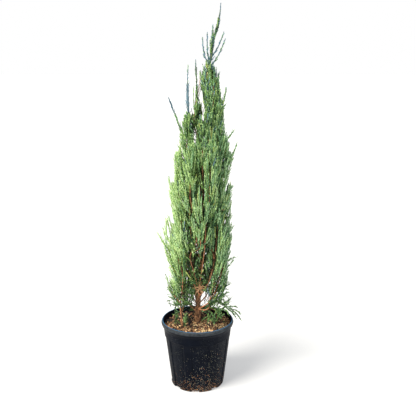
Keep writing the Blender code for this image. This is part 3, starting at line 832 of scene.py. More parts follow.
# How the greens are dealt, in levels from the deepest at 0 to the palest at 4.
MIDDLE_LEVEL, LEVEL_SPREAD = 2.58, 0.66
# Painted light: sprays are dealt paler greens towards each side of the crown, the left most, where the key
# light falls.
LEFT_PAINTED_LIGHT, RIGHT_PAINTED_LIGHT = 0.95, 0.60  # paler towards each side
# Painted shade: sprays deep inside the crown are dealt deeper greens.
DEEP_PAINTED_SHADE = 1.7
LOW_DARKENING, LOW_FADES = 1.75, (0.37, 0.50)  # by the rim, fading out between these heights
HIGH_DARKENING, HIGH_STARTS = 0.62, (0.92, 1.08)
SUNLIT, SUNLIT_STARTS, SUNLIT_FADES = 0.75, (0.56, 0.64), (0.80, 0.90)  # on the left at half height
CALM, CALM_STARTS = 0.45, (0.80, 1.02)  # how much nearer to each other the levels are above these heights
# Painted light: on the left the greens lean warm, where the warm light falls.
WARMTH, LEFT_WARM_LIGHT_TINT, WARMTH_SPREAD = 0.10, 0.8, 0.8  # above nought the family is warm
YELLOW_SHARE = 0.014
BLUE_SHARE, BLUE_STARTS = 0.002, ((0.008, 0.80, 1.00), (0.16, 1.08, 1.30))  # more of them above these heights
BLUE_GREY_SHARE = 0.6  # of the blue sprays

# Places where the photograph shows bare limbs, in millimetres: a line's two ends seen from the front, as x
# and z, and its half width. Only the leaves in front of such a limb are missing.
BARE_LIMBS = (
    (8, 377, 49, 439, 8), (49, 439, 64, 500, 7.5), (64, 500, 78, 609, 4.8),
    (78, 609, 83, 680, 3.2), (11, 325, 70, 385, 6.5), (70, 385, 104, 503, 5),
    (26, 505, 37, 690, 3.6), (-12, 470, -27, 560, 4), (-26, 720, -22, 830, 3),
    (0, 262, 3, 392, 13), (2, 396, 6, 430, 15), (24, 700, 25, 918, 3),
    (-65, 280, -71, 360, 4.5), (-71, 360, -60, 434, 4), (-71, 360, -104, 398, 3.5),
)
# The same for places where it shows straight through the crown.
GAPS = (
    (-1, 606, -3, 632, 4.5), (29, 352, 31, 380, 14), (-104, 348, -92, 362, 9),
    (6, 1188, 14, 1272, 4), (14, 1250, 25, 1143, 4.5), (25, 1143, 24, 1100, 3.5),
    (-24, 1142, -24, 1330, 16), (-12, 1128, -10, 1330, 6), (-8, 1018, -4, 1072, 4.5),
)
BARE = millimetres(BARE_LIMBS + GAPS)
BARE_STARTS, BARE_ALONG, BARE_WIDTHS = BARE[:, 0:2], BARE[:, 2:4] - BARE[:, 0:2], BARE[:, 4]
BARE_THROUGH = np.arange(len(BARE)) >= len(BARE_LIMBS)
BARE_FRONT = -0.012  # leaves nearer to the camera than this are in front of the limbs


class Hull:
    """How far the crown reaches out from the trunk by height and turn, read from its masses' solids."""

    def __init__(self, trunk):
        self.trunk = trunk
        self.step, self.turns = 0.01, 72
        self.low = min(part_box(name)[0].z for name in PLUMES)
        high = max(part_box(name)[1].z for name in PLUMES)
        parts = [node_mesh(name) for name in PLUMES]
        points, _, triangles = joined(parts)
        tree = BVHTree.FromPolygons([Vector(p) for p in points], triangles.tolist())
        rows = int((high - self.low) / self.step) + 1
        reach = np.zeros((rows, self.turns))
        for row in range(rows):
            axis = trunk.middle(self.low + row * self.step)
            for column in range(self.turns):
                out = Vector(level(TURN * column / self.turns))
                hit = tree.ray_cast(Vector(axis) + out * CROWN_LIMIT, -out, CROWN_LIMIT)
                reach[row, column] = CROWN_LIMIT - hit[3] if hit[3] is not None else 0.0
        # Masses that stand side by side join up, so each place reaches nearly as far as those beside it.
        beside = [np.roll(reach, columns, 1) for columns in range(-2, 3)]
        self.reach = (0.6 * np.max(beside, 0) + 0.4 * np.mean(beside, 0)) * HULL_SCALE
        heights = self.low + self.step * np.arange(rows)
        self.reach *= 1.0 - TOP_NARROWING * smooth_step(heights, *TOP_NARROWS)[:, None]

    def depth(self, points):
        """How far these places are inside the crown's skin."""
        offset = points - self.trunk.middle(points[:, 2])
        row = np.clip(((points[:, 2] - self.low) / self.step).astype(int), 0, len(self.reach) - 1)
        column = np.round(np.arctan2(offset[:, 1], offset[:, 0]) / TURN * self.turns).astype(int)
        below_top = points[:, 2] < self.low + self.step * len(self.reach)
        return self.reach[row, column % self.turns] * below_top - np.hypot(offset[:, 0], offset[:, 1])

    def room(self, place, heading, most=0.12):
        """How far it is from here to the skin this way."""
        steps = np.linspace(0.0, most, 31)
        out = np.flatnonzero(self.depth(place + heading * steps[:, None]) < 0.0)
        return steps[out[0]] if len(out) else most


def tilted(along, turn, lean):
    """A direction that leans away from along, towards the side at this turn."""
    first, second = sideways(along)
    side = first * math.cos(turn) + second * math.sin(turn)
    return unit(along * math.cos(lean) + side * math.sin(lean))


def outwards(trunk, point):
    """The level vector from the trunk's middle to this point."""
    return point - trunk.middle(point[2])


def flow(trunk, point):
    """The way leaves point here: upright in the middle, leaning out towards the sides and at the foot."""
    out = outwards(trunk, point)
    lean = LEFT_SPREAD if out[0] < 0 else RIGHT_SPREAD
    lean *= 1.0 + LOW_SPREAD * max(0.0, SPREAD_FOOT - point[2]) / SPREAD_RANGE
    return unit(UP + out / CROWN_HALF_WIDTH * lean)


def is_bare(*points):
    """True if any of these is in front of a limb that shows, or in a gap."""
    points, camera = np.array(points), np.array(CAMERA_PLACE)
    nearness = camera[1] / (camera[1] - points[:, 1:2])
    places = (camera + (points - camera) * nearness)[:, None, (0, 2)]  # seen on the plane through the trunk
    shares = ((places - BARE_STARTS) * BARE_ALONG).sum(2) / (BARE_ALONG**2).sum(1)
    gaps = places - BARE_STARTS - np.clip(shares, 0.0, 1.0)[..., None] * BARE_ALONG
    near = (gaps**2).sum(2) < BARE_WIDTHS**2
    return bool((near & (BARE_THROUGH | (points[:, 1:2] < BARE_FRONT))).any())


SPRAY_STRAY = 0.065  # how far sprays stray from the flow of the crown
TANGLE, TANGLE_SHORTENING = 0.42, 0.4  # low in the middle they stray further and are shorter
TANGLE_FADES, TANGLE_MIDDLE, TANGLE_SIDES = (0.52, 0.66), 0.004, (0.034, 0.062)


def tangled(point):
    """From 0 to 1: whether the sprays at this place grow every way."""
    aside = abs(point[0] - TANGLE_MIDDLE)
    return (1.0 - smooth_step(point[2], *TANGLE_FADES)) * (1.0 - smooth_step(aside, *TANGLE_SIDES))


class Crown:
    """The sprays and twigs grown so far."""

    def __init__(self, trunk, seed):
        self.trunk = trunk
        self.hull = Hull(trunk)
        self.rng = np.random.default_rng(seed)
        self.twigs, self.rows, self.greens = [], [], []

    def add(self, foot, start, end, length, green, fullness=1.0, leaf=1.0):
        """A spray: its foot, its first and last directions, its length and colour, and how leafy it is."""
        self.rows.append((*foot, *start, *end, length, fullness, leaf))
        self.greens.append(GREEN_NAMES.index(green))

    def green(self, point, depth, tint=0.0):
        """Paler at the skin and sides and deeper inside, as painted light and shade; deeper low down, warm on
        the left as a painted tint of warm light, blue near the top.
        """
        rng, height = self.rng, point[2]
        side = float(np.clip(-outwards(self.trunk, point)[0] / CROWN_HALF_WIDTH, -1.0, 1.0))
        blue = BLUE_SHARE
        for share, *heights in BLUE_STARTS:
            blue += share * smooth_step(height, *heights)
        if rng.random() < blue:
            return "blue_grey" if rng.random() < BLUE_GREY_SHARE else "blue_pale"
        if rng.random() < YELLOW_SHARE:
            return "yellow_green"
        # Painted light makes the sides paler, the left most, and painted shade makes the inside deeper.
        lift = LEFT_PAINTED_LIGHT * max(side, 0.0) + RIGHT_PAINTED_LIGHT * max(-side, 0.0)
        lift = lift - DEEP_PAINTED_SHADE * smooth_step(depth, 0.010, INNER_DEPTH) + rng.normal(0.0, LEVEL_SPREAD)
        sunlit = smooth_step(height, *SUNLIT_STARTS) * (1.0 - smooth_step(height, *SUNLIT_FADES))
        tint = tint - LOW_DARKENING * (1.0 - smooth_step(height, *LOW_FADES))
        tint = tint + SUNLIT * sunlit * max(side, 0.0) - HIGH_DARKENING * smooth_step(height, *HIGH_STARTS)
        tone = MIDDLE_LEVEL + tint + lift * (1.0 - CALM * smooth_step(height, *CALM_STARTS))
        # Painted light: the warm family is likelier on the left, where the warm light falls.
        family = WARM if rng.normal(WARMTH + LEFT_WARM_LIGHT_TINT * side, WARMTH_SPREAD) > 0.0 else COOL
        return list(family)[int(np.clip(round(tone), 0, LEVELS - 1))]

    def branch(self, point, along, turn, lean, longest, tint, lengths=SPRAY_LENGTHS, inner=INNER_SHARE):
        """A twig that leaves a stem, bends to the flow of the crown and carries sprays to the skin."""
        rng = self.rng
        start = tilted(along, turn, lean)
        end = unit(flow(self.trunk, point) * 0.8 + start * 0.5 + rng.normal(0, 0.10, 3))
        reach = self.hull.room(point, unit(start + end))
        length = min(reach * rng.uniform(0.60, 0.90), longest * rng.uniform(0.6, 1.0))
        if length < SHORTEST_BRANCH:
            return
        path = curved(point, start, end, length, 4)
        self.twigs.append((path, 0.0006 + 0.006 * length, 0.0004))
        self.deal(path, length, tint, lengths, inner)

    def deal(self, path, length, tint, lengths, inner):
        """Sprays up a twig in a spiral, and one that carries it on."""
        rng = self.rng
        along = directions(path)
        turn = rng.uniform(0.0, TURN)
        for share in np.append(np.arange(*SPRAY_SHARES, SPRAY_STEP / length), 1.0):
            place = share * (len(path) - 1)
            low = min(int(place), len(path) - 2)
            point = path[low] + (path[low + 1] - path[low]) * (place - low)
            turn += GOLDEN_TURN + rng.uniform(-0.5, 0.5)
            start = tilted(along[low], turn, 0.08 if share == 1.0 else rng.uniform(0.14, 0.48))
            tangle = tangled(point)
            stray = rng.normal(0.0, SPRAY_STRAY + TANGLE * tangle, 3)
            end = unit(flow(self.trunk, point) + start * 0.18 + stray)
            overshoot = SKIN_OVERSHOOT if point[2] < TOP_HEIGHT else TOP_OVERSHOOT
            free = self.hull.room(point, unit(start + end)) + rng.uniform(-0.004, overshoot)
            size = min(rng.uniform(*lengths) * (1.0 - TANGLE_SHORTENING * tangle), free)
            middle = point + unit(start + end) * size / 2
            depth = self.hull.depth(middle[None])[0]
            if size < SHORTEST_SPRAY or (depth > INNER_DEPTH and rng.random() > inner):
                continue
            if is_bare(*(point + (middle - point) * reach for reach in BARE_TESTS)):
                continue
            fullness, leaf = next(leafing for deepest, *leafing in LEAFINGS if depth < deepest)
            self.add(point, start, end, size, self.green(middle, depth, tint), fullness, leaf)

    def plume(self, name, limb):
        """Branches leave the stem in a spiral, rise to the skin of the mass, and carry sprays."""
        rng = self.rng
        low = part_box(name)[0].z
        skirt = name.startswith("mass_skirt")
        first = int(np.argmax(limb.path[:, 2] > low - 0.004)) / (len(limb.path) - 1)
        count = int(limb.length * (1.0 - first) / BRANCH_STEP)
        turn = rng.uniform(0.0, TURN)
        tint = rng.uniform(-PLUME_TINT, PLUME_TINT)
        for index in range(count):
            up = (index + rng.uniform(0.1, 0.9)) / count
            point, along = limb.one(first + (1.0 - first) * up)
            turn += GOLDEN_TURN + rng.uniform(-0.4, 0.4)
            lean = rng.uniform(0.55, 0.95) * (1.0 - 0.55 * up) + (0.35 if skirt and up < 0.35 else 0.0)
            self.branch(point, along, turn, lean, LONGEST_BRANCH, tint)
        top, along = limb.one(0.97)
        self.add(top, along, flow(self.trunk, top), 0.030, self.green(top, 0.0, tint))

    def fill(self, low, high, step, longest, lengths):
        """Short branches straight from the trunk, which close up the middle of the crown."""
        rng = self.rng
        turn = 0.0
        for height in np.arange(low, high, step):
            turn += GOLDEN_TURN + rng.uniform(-0.3, 0.3)
            start, lean = self.trunk.middle(height), rng.uniform(0.8, 1.35)
            self.branch(start, UP, turn, lean, longest, FILL_PAINTED_SHADE, lengths, FILL_SHARE)

    def rope(self, limb, first, side_lengths, side_step, green_of, leaf, clear=True):
        """A leafy shoot: sprays laid end over end along it, and short ones beside them that can keep clear of
        the bare places."""
        rng = self.rng
        count = max(3, int(limb.length * (1.0 - first) / ROPE_STEP))
        for index in range(count):
            share = first + (1.0 - first) * index / count
            point, along = limb.one(share)
            size = max(min(ROPE_LENGTHS[1], limb.length * (1.0 - share) + 0.003), ROPE_LENGTHS[0])
            self.add(point, along, along, size, green_of(point, rng), 1.2, leaf)
        turn = rng.uniform(0.0, TURN)
        for share in np.arange(first + 0.02, 0.93, side_step / limb.length):
            point, along = limb.one(share)
            turn += GOLDEN_TURN
            start = tilted(along, turn, rng.uniform(0.25, 0.5))
            size = rng.uniform(*side_lengths) * (1.15 - 0.55 * share)
            if not (clear and is_bare(point + start * size * 0.6)):
                end = unit(start * 0.6 + along + UP * 0.2)
                self.add(point, start, end, size, green_of(point, rng), 1.1, leaf)

    def sprigs(self, limb, low, high):
        """Small leafy tufts close to a low limb, between two heights."""
        rng = self.rng
        count = int(limb.length / SPRIG_STEP)
        points, alongs = limb.at((np.arange(count) + rng.random(count)) / count)
        for point, along in zip(points, alongs):
            if not low < point[2] < high:
                continue
            turn = rng.uniform(0.0, TURN)
            for index in range(SPRIGS):
                start = tilted(along, turn + index * GOLDEN_TURN, rng.uniform(0.5, 1.1))
                size = rng.uniform(*SPRIG_LENGTHS)
                middle = point + start * size * 0.6
                if not is_bare(middle, point):
                    green = self.green(middle, rng.choice(SPRIG_DEPTHS))
                    self.add(point, start, unit(start + UP * 0.5), size, green, 1.0, 1.05)

    def fan(self, course, tips, green_of, leaf):
        """A low spray: a twig along its course, whose last part opens to these tips."""
        limb = Limb(course, *FAN_RADII, 16)
        self.twigs.append((limb.path, *FAN_RADII))
        self.rope(limb, 0.35, (0.016, 0.030), 0.007, green_of, leaf)
        for index, tip in enumerate(tips):
            share = 0.62 + 0.38 * index / (len(tips) - 1)
            point, along = limb.one(share)
            middle = (point + tip) / 2 + UP * 0.004 + along * 0.004
            finger = Limb([point, middle, tip], 0.001, 0.0005, 12)
            self.rope(finger, 0.05, (0.010, 0.020), 0.006, green_of, leaf)


FALLEN, FALLEN_REACH, FALLEN_LENGTHS = 26, 0.125, (0.007, 0.014)
FALLEN_GREENS = ("warm", "cool_shade", "warm_light")


def grow_fallen(crown):
    """Small green bits that have dropped on the mulch."""
    rng = crown.rng
    for _ in range(FALLEN):
        out = FALLEN_REACH * math.sqrt(rng.random())
        x, y, _ = level(rng.uniform(0.0, TURN)) * out
        way = level(rng.uniform(0.0, TURN)) + UP * 0.05
        size = rng.uniform(*FALLEN_LENGTHS)
        crown.add((x, y, mulch_height(x, y) + 0.004), way, way, size, rng.choice(FALLEN_GREENS), 1.2, 0.9)


def curved(foot, start, end, length, count):
    t = np.linspace(0.0, 1.0, count)[:, None]
    return foot + length * (start * t + (end - start) * t**2 / 2)


def spray_points(rows, shares):
    """Places and directions along sprays, for arrays of rows and shares of the same length."""
    foot, start, end, length = rows[:, 0:3], rows[:, 3:6], rows[:, 6:9], rows[:, 9:10]
    t = shares[:, None]
    along = unit(start + (end - start) * t)
    side, _ = sideways(unit(start + end))
    wave = np.sin(shares * 9.0 + foot[:, 0] * 900.0) * shares * length[:, 0] * WAVE
    return foot + length * (start * t + (end - start) * t**2 / 2) + side * wave[:, None], along


def cord_arrays(rows):
    """The stalk of each spray: a three-sided tapering cord that ends in a point."""
    count = len(rows)
    points = []
    for share in np.linspace(0.0, 0.86, 3):
        point, along = spray_points(rows, np.full(count, share))
        points += triangle_ring(point, along, CORD_RADIUS * (1.15 - 0.75 * share) * rows[:, 11])
    points.append(spray_points(rows, np.full(count, 1.0))[0])
    points = np.stack(points, 1).reshape(-1, 3)
    return points, copies(grid_faces(3, 3), count, 10), copies(cap_faces(6, 3, 9), count, 10)


def tuft_greens(greens, tuft, owner, rng):
    """Each tuft has its spray's colour or the next paler or deeper one of its family."""
    key = owner * MOST_TUFTS + tuft
    shift = rng.choice((-2, -1, 0, 1, 2), key.max() + 1, p=TUFT_SHIFTS)[key]
    green = greens[owner]
    family = green // LEVELS
    shifted = family * LEVELS + np.clip(green % LEVELS + shift, 0, LEVELS - 1)
    return np.where(green < 2 * LEVELS, shifted, green)


def leaflets(rows, greens, rng):
    """Scale-leaved twiglets in tufts up each spray, longest at its foot, and each one's green."""
    tufts = np.clip(np.round(rows[:, 9] * rows[:, 10] / TUFT_STEP).astype(int), 2, MOST_TUFTS)
    counts = tufts * TUFT_LEAFLETS
    owner = np.repeat(np.arange(len(rows)), counts)
    order = np.concatenate([np.arange(c) for c in counts])
    tuft = order // TUFT_LEAFLETS
    start_share = rng.uniform(0.0, 0.9, len(rows))[owner]
    share = 0.03 + 0.94 * (tuft + start_share + rng.random(len(order)) * 0.22) / tufts[owner]
    share = np.minimum(share, 0.98)
    turn = order * GOLDEN_TURN + rng.uniform(0.0, TURN, len(rows))[owner]
    own = rows[owner]
    point, along = spray_points(own, share)
    first, second = sideways(along)
    side = first * np.cos(turn)[:, None] + second * np.sin(turn)[:, None]
    lean = rng.uniform(0.32, 0.60, len(order))[:, None]
    start = unit(along * np.cos(lean) + side * np.sin(lean))
    fade = np.clip(1.0 - share, 0.0, 1.0) ** 0.7
    longest = np.minimum(LEAFLET_LENGTHS[1], own[:, 9] * 0.26)
    length = (LEAFLET_LENGTHS[0] + (longest - LEAFLET_LENGTHS[0]) * fade) * own[:, 11]
    length *= rng.uniform(0.7, 1.15, len(order))
    radius = LEAFLET_RADIUS * rng.uniform(0.85, 1.15, len(order)) * own[:, 11]
    bent = order % (2 * TUFT_LEAFLETS) == 0
    return point, start, along, length, radius, bent, tuft_greens(greens, tuft, owner, rng)


def triangle_ring(point, along, radius):
    first, second = sideways(along)
    ring = [first * math.cos(turn) + second * math.sin(turn) for turn in (0.0, TURN / 3, 2 * TURN / 3)]
    return [point + out * radius[:, None] for out in ring]


def bent_twiglets(point, start, along, length, radius):
    """Two-part twiglets that bend up: a three-sided foot and a pointed end."""
    knee = point + start * (length * 0.55)[:, None]
    end = knee + unit(start + along * 0.9) * (length * 0.50)[:, None]
    foot_ring, knee_ring = triangle_ring(point, start, radius * 0.8), triangle_ring(knee, start, radius)
    points, count = np.stack([*foot_ring, *knee_ring, end], 1), len(point)
    return points.reshape(-1, 3), copies(grid_faces(2, 3), count, 7), copies(cap_faces(3, 3, 6), count, 7)


def plain_twiglets(point, start, length, radius):
    """Short pointed twiglets of three faces."""
    points = np.stack([*triangle_ring(point, start, radius), point + start * length[:, None]], 1)
    return points.reshape(-1, 3), np.empty((0, 4), int), copies(cap_faces(0, 3, 3), len(point), 4)


def make_foliage(crown):
    """One joined piece for each green."""
    rows, greens = np.array(crown.rows), np.array(crown.greens)
    point, start, along, length, radius, bent, green = leaflets(rows, greens, np.random.default_rng(SEED + 7))
    pieces = []
    for number, name in enumerate(GREEN_NAMES):
        one, rest = (green == number) & bent, (green == number) & ~bent
        parts = [
            cord_arrays(rows[greens == number]),
            bent_twiglets(point[one], start[one], along[one], length[one] * 1.15, radius[one]),
            plain_twiglets(point[rest], start[rest], length[rest], radius[rest]),
        ]
        piece = mesh_object(f"foliage_{name}", *joined(parts))
        material = plain_material(f"foliage_{name}", srgb(*GREENS[name]), 0.55, 0.30)
        pieces.append(finish_piece(piece, material))
    return pieces


def make_twigs(crown, material):
    """Every twig that carries sprays, from its radius at the foot to that at the tip."""
    parts = [tube_arrays(path, np.linspace(foot, tip, len(path)), 3) for path, foot, tip in crown.twigs]
    finish_piece(mesh_object("twigs", *joined(parts)), material)


STUBS, STUB_FOOT, STUB_LENGTHS = 40, (0.011, -0.014, 0.416), (0.012, 0.034)
STUB_WAYS, STUB_DRIFT = (1.0, 0.6, 1.0), (0.1, -0.8, 0.3)  # spread sideways, and point to the front
STUB_RADII = (0.0019, 0.0015, 0.0006)
FLAKES, FLAKE_HEIGHTS, FLAKE_LENGTHS = 400, (0.258, 0.560), (0.008, 0.026)
FLAKE_STAND_OFF, FORK_STAND_OFFS = 0.0035, (0.006, 0.020)
FORK_FLAKES, FORK_SPREAD = 0.35, (0.402, 0.010)  # this share of the flakes is about the fork
FLAKE_RADII, FLAKE_TAPER = (0.0006, 0.0014), (0.5, 1.0, 1.0, 0.8, 0.3)


def make_stubs(material):
    """The pale stubs of broken twigs that burst from the trunk's fork."""
    rng = np.random.default_rng(SEED + 10)
    parts = []
    for _ in range(STUBS):
        way = unit(rng.normal(0.0, 1.0, 3) * STUB_WAYS + STUB_DRIFT)
        length = rng.uniform(*STUB_LENGTHS)
        start = np.array(STUB_FOOT) + rng.normal(0.0, 0.003, 3)
        middle = start + way * length * 0.5 + rng.normal(0.0, 0.0020, 3)
        parts.append(tube_arrays(np.array((start, middle, start + way * length)), np.array(STUB_RADII), 5))
    finish_piece(mesh_object("fork_stubs", *joined(parts)), material)


def make_flakes(trunk, material):
    """Strips of bark that peel from the trunk with their upper end standing off, furthest about its fork."""
    rng = np.random.default_rng(SEED + 9)
    parts = []
    for _ in range(FLAKES):
        height, stand_off = rng.uniform(*FLAKE_HEIGHTS), FLAKE_STAND_OFF
        if rng.random() < FORK_FLAKES:
            height, stand_off = rng.normal(*FORK_SPREAD), rng.uniform(*FORK_STAND_OFFS)
        turn, length = rng.uniform(0.0, TURN), rng.uniform(*FLAKE_LENGTHS)
        girth = np.interp(height, trunk.path[:, 2], trunk.radius)
        drift = rng.uniform(-0.5, 0.5)
        course = []
        for step in np.linspace(0.0, 1.0, 5):
            out = level(turn + drift * step) * (girth + 0.0002 + stand_off * step**2)
            course.append(trunk.middle(height + length * step) + out)
        radius = rng.uniform(*FLAKE_RADII) * np.array(FLAKE_TAPER)
        parts.append(tube_arrays(np.array(course), radius, 4))
    finish_piece(mesh_object("trunk_flakes", *joined(parts)), material)


FORK_LIMBS, FORK_HEIGHTS, FORK_LENGTHS = 9, (0.386, 0.424), (0.028, 0.060)
FORK_TURNS, FORK_RADII = 1.9, (0.0027, 0.0009)  # how far to each side of the front they are


def fork_limbs(trunk):
    """The stubby limbs that burst from the trunk where it forks, most of them towards the front."""
    rng = np.random.default_rng(SEED + 5)
    limbs = []
    turns = rng.uniform(-FORK_TURNS, FORK_TURNS, FORK_LIMBS) - math.pi / 2
    for height, turn in zip(np.linspace(*FORK_HEIGHTS, FORK_LIMBS), turns):
        start, out = trunk.middle(height), level(turn)
        length = rng.uniform(*FORK_LENGTHS)
        middle = start + (out * 0.55 + UP * 0.30) * length
        limbs.append(Limb([start, middle, start + (out * 0.75 + UP) * length], *FORK_RADII, 14))
    return limbs


def make_bough_bark(limbs, material):
    """Every limb's own wood, with fine stringy relief."""
    parts = []
    for index, limb in enumerate(limbs):
        relief = bark_relief(BOUGH_RELIEF, 1.6, 7.0 + index)
        sides = BOUGH_SIDES if limb.radius[0] > THIN_LIMB else THIN_SIDES
        parts.append(tube_arrays(limb.path, limb.radius, sides, relief))
    finish_piece(mesh_object("bough_bark", *joined(parts)), material, BOUGHS)


def choice_of(names, shares=None):
    """A rule that deals these greens by their shares, or evenly, wherever the spray is."""
    return lambda point, rng: str(rng.choice(names, p=shares))


def above(heights, least, more, high_green, low_rule):
    """A rule that deals one green by a chance that grows between two heights, and else another rule's."""

    def rule(point, rng):
        if rng.random() < least + more * smooth_step(point[2], *heights):
            return high_green
        return low_rule(point, rng)

    return rule


# Rules for the greens of shoots: each takes the place and the random draws, and gives the name of a green.
blue_green = choice_of(("blue_grey", "blue_pale", "cool", "cool_shade"), (0.5, 0.22, 0.14, 0.14))
feather_green = choice_of(("blue_pale", "blue_grey"), (0.7, 0.3))
low_green = choice_of(
    ("warm_deep", "warm_shade", "warm", "warm_light", "cool_shade", "cool"),
    (0.22, 0.32, 0.18, 0.02, 0.18, 0.08),
)
deep_green = choice_of(
    ("cool_deep", "warm_deep", "cool_shade", "warm_shade", "cool"),
    (0.3, 0.2, 0.25, 0.15, 0.1),
)
even_green = choice_of(("cool_deep", "cool_shade", "cool", "warm_shade", "warm"))
shade_green = choice_of(("cool_shade", "cool", "warm_shade"))
dark_green = above((1.29, 1.31), 0.0, 0.8, "blue_pale", deep_green)
leader_green = above((1.46, 1.49), 0.35, 0.6, "blue_grey", even_green)
WISP_BLUE_HEIGHT = 1.115


def wisp_green(point, rng):
    return "blue_grey" if point[2] > WISP_BLUE_HEIGHT else shade_green(point, rng)


# Sprays that stand out from the crown's edges: the foot and the tip of each, in millimetres.
FRINGE = (
    (-101, 0, 618, -121, 0, 703), (-94, 10, 632, -116, 10, 715), (-80, 0, 685, -104, 0, 767),
    (-110, -10, 557, -136, -10, 671), (-107, 0, 524, -136, 0, 605), (-100, 10, 487, -129, 10, 564),
    (-104, -10, 394, -126, -10, 468), (-87, -20, 368, -118, -20, 418), (105, 0, 516, 152, 0, 545),
    (109, -10, 485, 148, -10, 537), (110, -20, 411, 125, -20, 493), (93, -20, 415, 133, -20, 436),
    (102, -30, 345, 135, -30, 378), (89, -30, 372, 117, -30, 453), (81, -40, 349, 107, -40, 418),
    (117, 0, 618, 145, 0, 676), (112, 0, 800, 143, 0, 840), (20, 100, 560, 24, 128, 650),
    (-40, 90, 480, -50, 118, 570), (60, 80, 700, 68, 108, 790), (116, 0, 872, 142, 0, 950),
    (108, -20, 880, 136, -20, 962), (104, 0, 830, 132, 0, 905), (96, 20, 850, 122, 20, 935),
    (62, 30, 850, 72, 34, 930), (70, 0, 860, 80, 0, 944), (54, 20, 900, 64, 24, 975),
    (80, 20, 810, 90, 20, 890), (-96, 0, 800, -112, 0, 878), (10, 50, 810, 14, 56, 900),
    (22, 50, 800, 20, 56, 890), (-6, 50, 830, 0, 50, 910), (30, 50, 850, 30, 52, 930),
    (0, 50, 1000, 0, 50, 1080), (50, -40, 540, 57, -50, 620), (54, -40, 590, 60, -50, 670),
    (50, -45, 640, 57, -55, 720), (60, -40, 620, 65, -50, 700), (46, -30, 600, 49, -35, 690),
    (64, -30, 660, 67, -40, 740), (50, 40, 600, 56, 48, 690), (60, 40, 560, 66, 48, 650),
    (-30, 40, 560, -34, 50, 650), (-36, 40, 600, -42, 50, 690), (-20, -10, 1040, -20, -10, 1118),
    (-30, -10, 1050, -32, -10, 1126), (-12, -6, 1060, -15, -6, 1120), (-26, 6, 1010, -26, 6, 1085),
    (0, -30, 800, 2, -40, 880), (12, -30, 850, 10, -40, 930), (20, -30, 810, 22, -40, 890),
    (4, -30, 870, 6, -36, 950),
)
FRINGE_TWIG, FRINGE_SHOOT = (0.0013, 0.0007), (0.0012, 0.0004)  # radii


def grow_fringe(crown, limbs):
    """Each spray leaves the nearest limb below its foot and bends up to its tip."""
    points = all_points(limbs)
    fringe_green = lambda point, rng: crown.green(point, 0.006)
    for foot, tip in millimetres(FRINGE).reshape(-1, 2, 3):
        start = holder(points, foot)
        middle = (foot + tip) / 2 + (foot - start) * 0.06
        crown.twigs.append((smooth_path([start, foot, middle], 6), *FRINGE_TWIG))
        limb = Limb([foot, middle, tip], *FRINGE_SHOOT, 16)
        crown.rope(limb, 0.0, (0.016, 0.032), 0.0055, fringe_green, 0.9)


FEATHERS = (1.085, 1.235)  # between these heights the far left shoot is feathered
# The near left shoot leaves the trunk at this height and passes through these places, in millimetres.
NEAR_LEFT_HEIGHT, NEAR_LEFT_FOOT = 1.02, ((12, -14, 1085), (5, -18, 1150))
LEADER_THIN = 1.475  # above this the leader has only its own thin shoot
# The leafing of the thin shoots by the start of their name: where it starts on the limb, the lengths of the
# side sprays, the step between them, the rule for their greens (None is the crown's own), the size of their
# leaves, and whether they keep clear of the bare places.
SHOOT_LEAFINGS = {
    "shoot_near_left": (0.10, (0.012, 0.026), 0.0034, dark_green, 0.95, False),
    "shoot_far_left": (0.0, (0.012, 0.022), 0.006, blue_green, 0.95, False),
    "wisp_high_left": (0.0, (0.014, 0.026), 0.0045, wisp_green, 1.15, False),
    "shoot": (0.0, (0.012, 0.020), 0.008, blue_green, 1.15, True),
    "horn": (0.0, (0.016, 0.030), 0.004, None, 1.0, True),
    "wisp": (0.0, (0.024, 0.044), 0.0055, None, 0.9, True),
}
FEATHER_LEAFING = (0.0, (0.030, 0.050), 0.0042, feather_green, 0.85, False)
LEADER_RADII = (0.0015, 0.0005)
LEADER_LEAFING = (0.0, (0.008, 0.014), 0.010, leader_green, 1.0)
LEADER_FOOT_LEAFING = (0.0, (0.024, 0.040), 0.0024, leader_green, 1.1)


def grow_shoots(crown, trunk, plumes):
    """Thin shoots that stand clear of the masses: blue-grey at the very top, green lower down."""
    own_green = lambda point, rng: crown.green(point, 0.008)
    for name, limb in spray_limbs(trunk, plumes).items():
        if name == "shoot_near_left":
            upper = slices(name, 8, 0.03)[0][4:]
            course = [trunk.middle(NEAR_LEFT_HEIGHT), *millimetres(NEAR_LEFT_FOOT), *upper]
            crown.twigs.append((smooth_path(course, 10), *SPRAY_RADII))
            limb = Limb(course, *SPRAY_RADII, 30)
        kind = next((start for start in SHOOT_LEAFINGS if name.startswith(start)), None)
        if kind:
            first, lengths, step, rule, leaf, clear = SHOOT_LEAFINGS[kind]
            crown.rope(limb, first, lengths, step, rule or own_green, leaf, clear)
        if name == "shoot_far_left":
            feathered = limb.path[(limb.path[:, 2] > FEATHERS[0]) & (limb.path[:, 2] < FEATHERS[1])]
            crown.rope(Limb(feathered, 0.001, 0.001, 20), *FEATHER_LEAFING)
    spine = slices("mass_leader", 14, 0.005)[0]
    crown.rope(Limb(spine, *LEADER_RADII, 40), *LEADER_LEAFING)
    crown.rope(Limb(spine[spine[:, 2] < LEADER_THIN], *LEADER_RADII, 40), *LEADER_FOOT_LEAFING)


# The fingers that the crown's top parts into: each one's tip, and the height where it leaves the trunk.
FINGERS = (
    (39, -4, 1321, 1170), (29, 6, 1303, 1160), (17, -10, 1278, 1180), (68, -8, 1292, 1170),
    (76, 10, 1262, 1130), (85, 0, 1280, 1120), (52, -22, 1276, 1160), (46, 16, 1295, 1170),
    (24, -18, 1262, 1140), (62, -24, 1248, 1120), (34, 24, 1262, 1130), (64, 24, 1270, 1140),
    (36, -24, 1240, 1100), (74, -14, 1232, 1080), (-12, -15, 1229, 1060),
)
FINGER_RADII, FINGER_TINT = (0.0014, 0.0004), -0.35


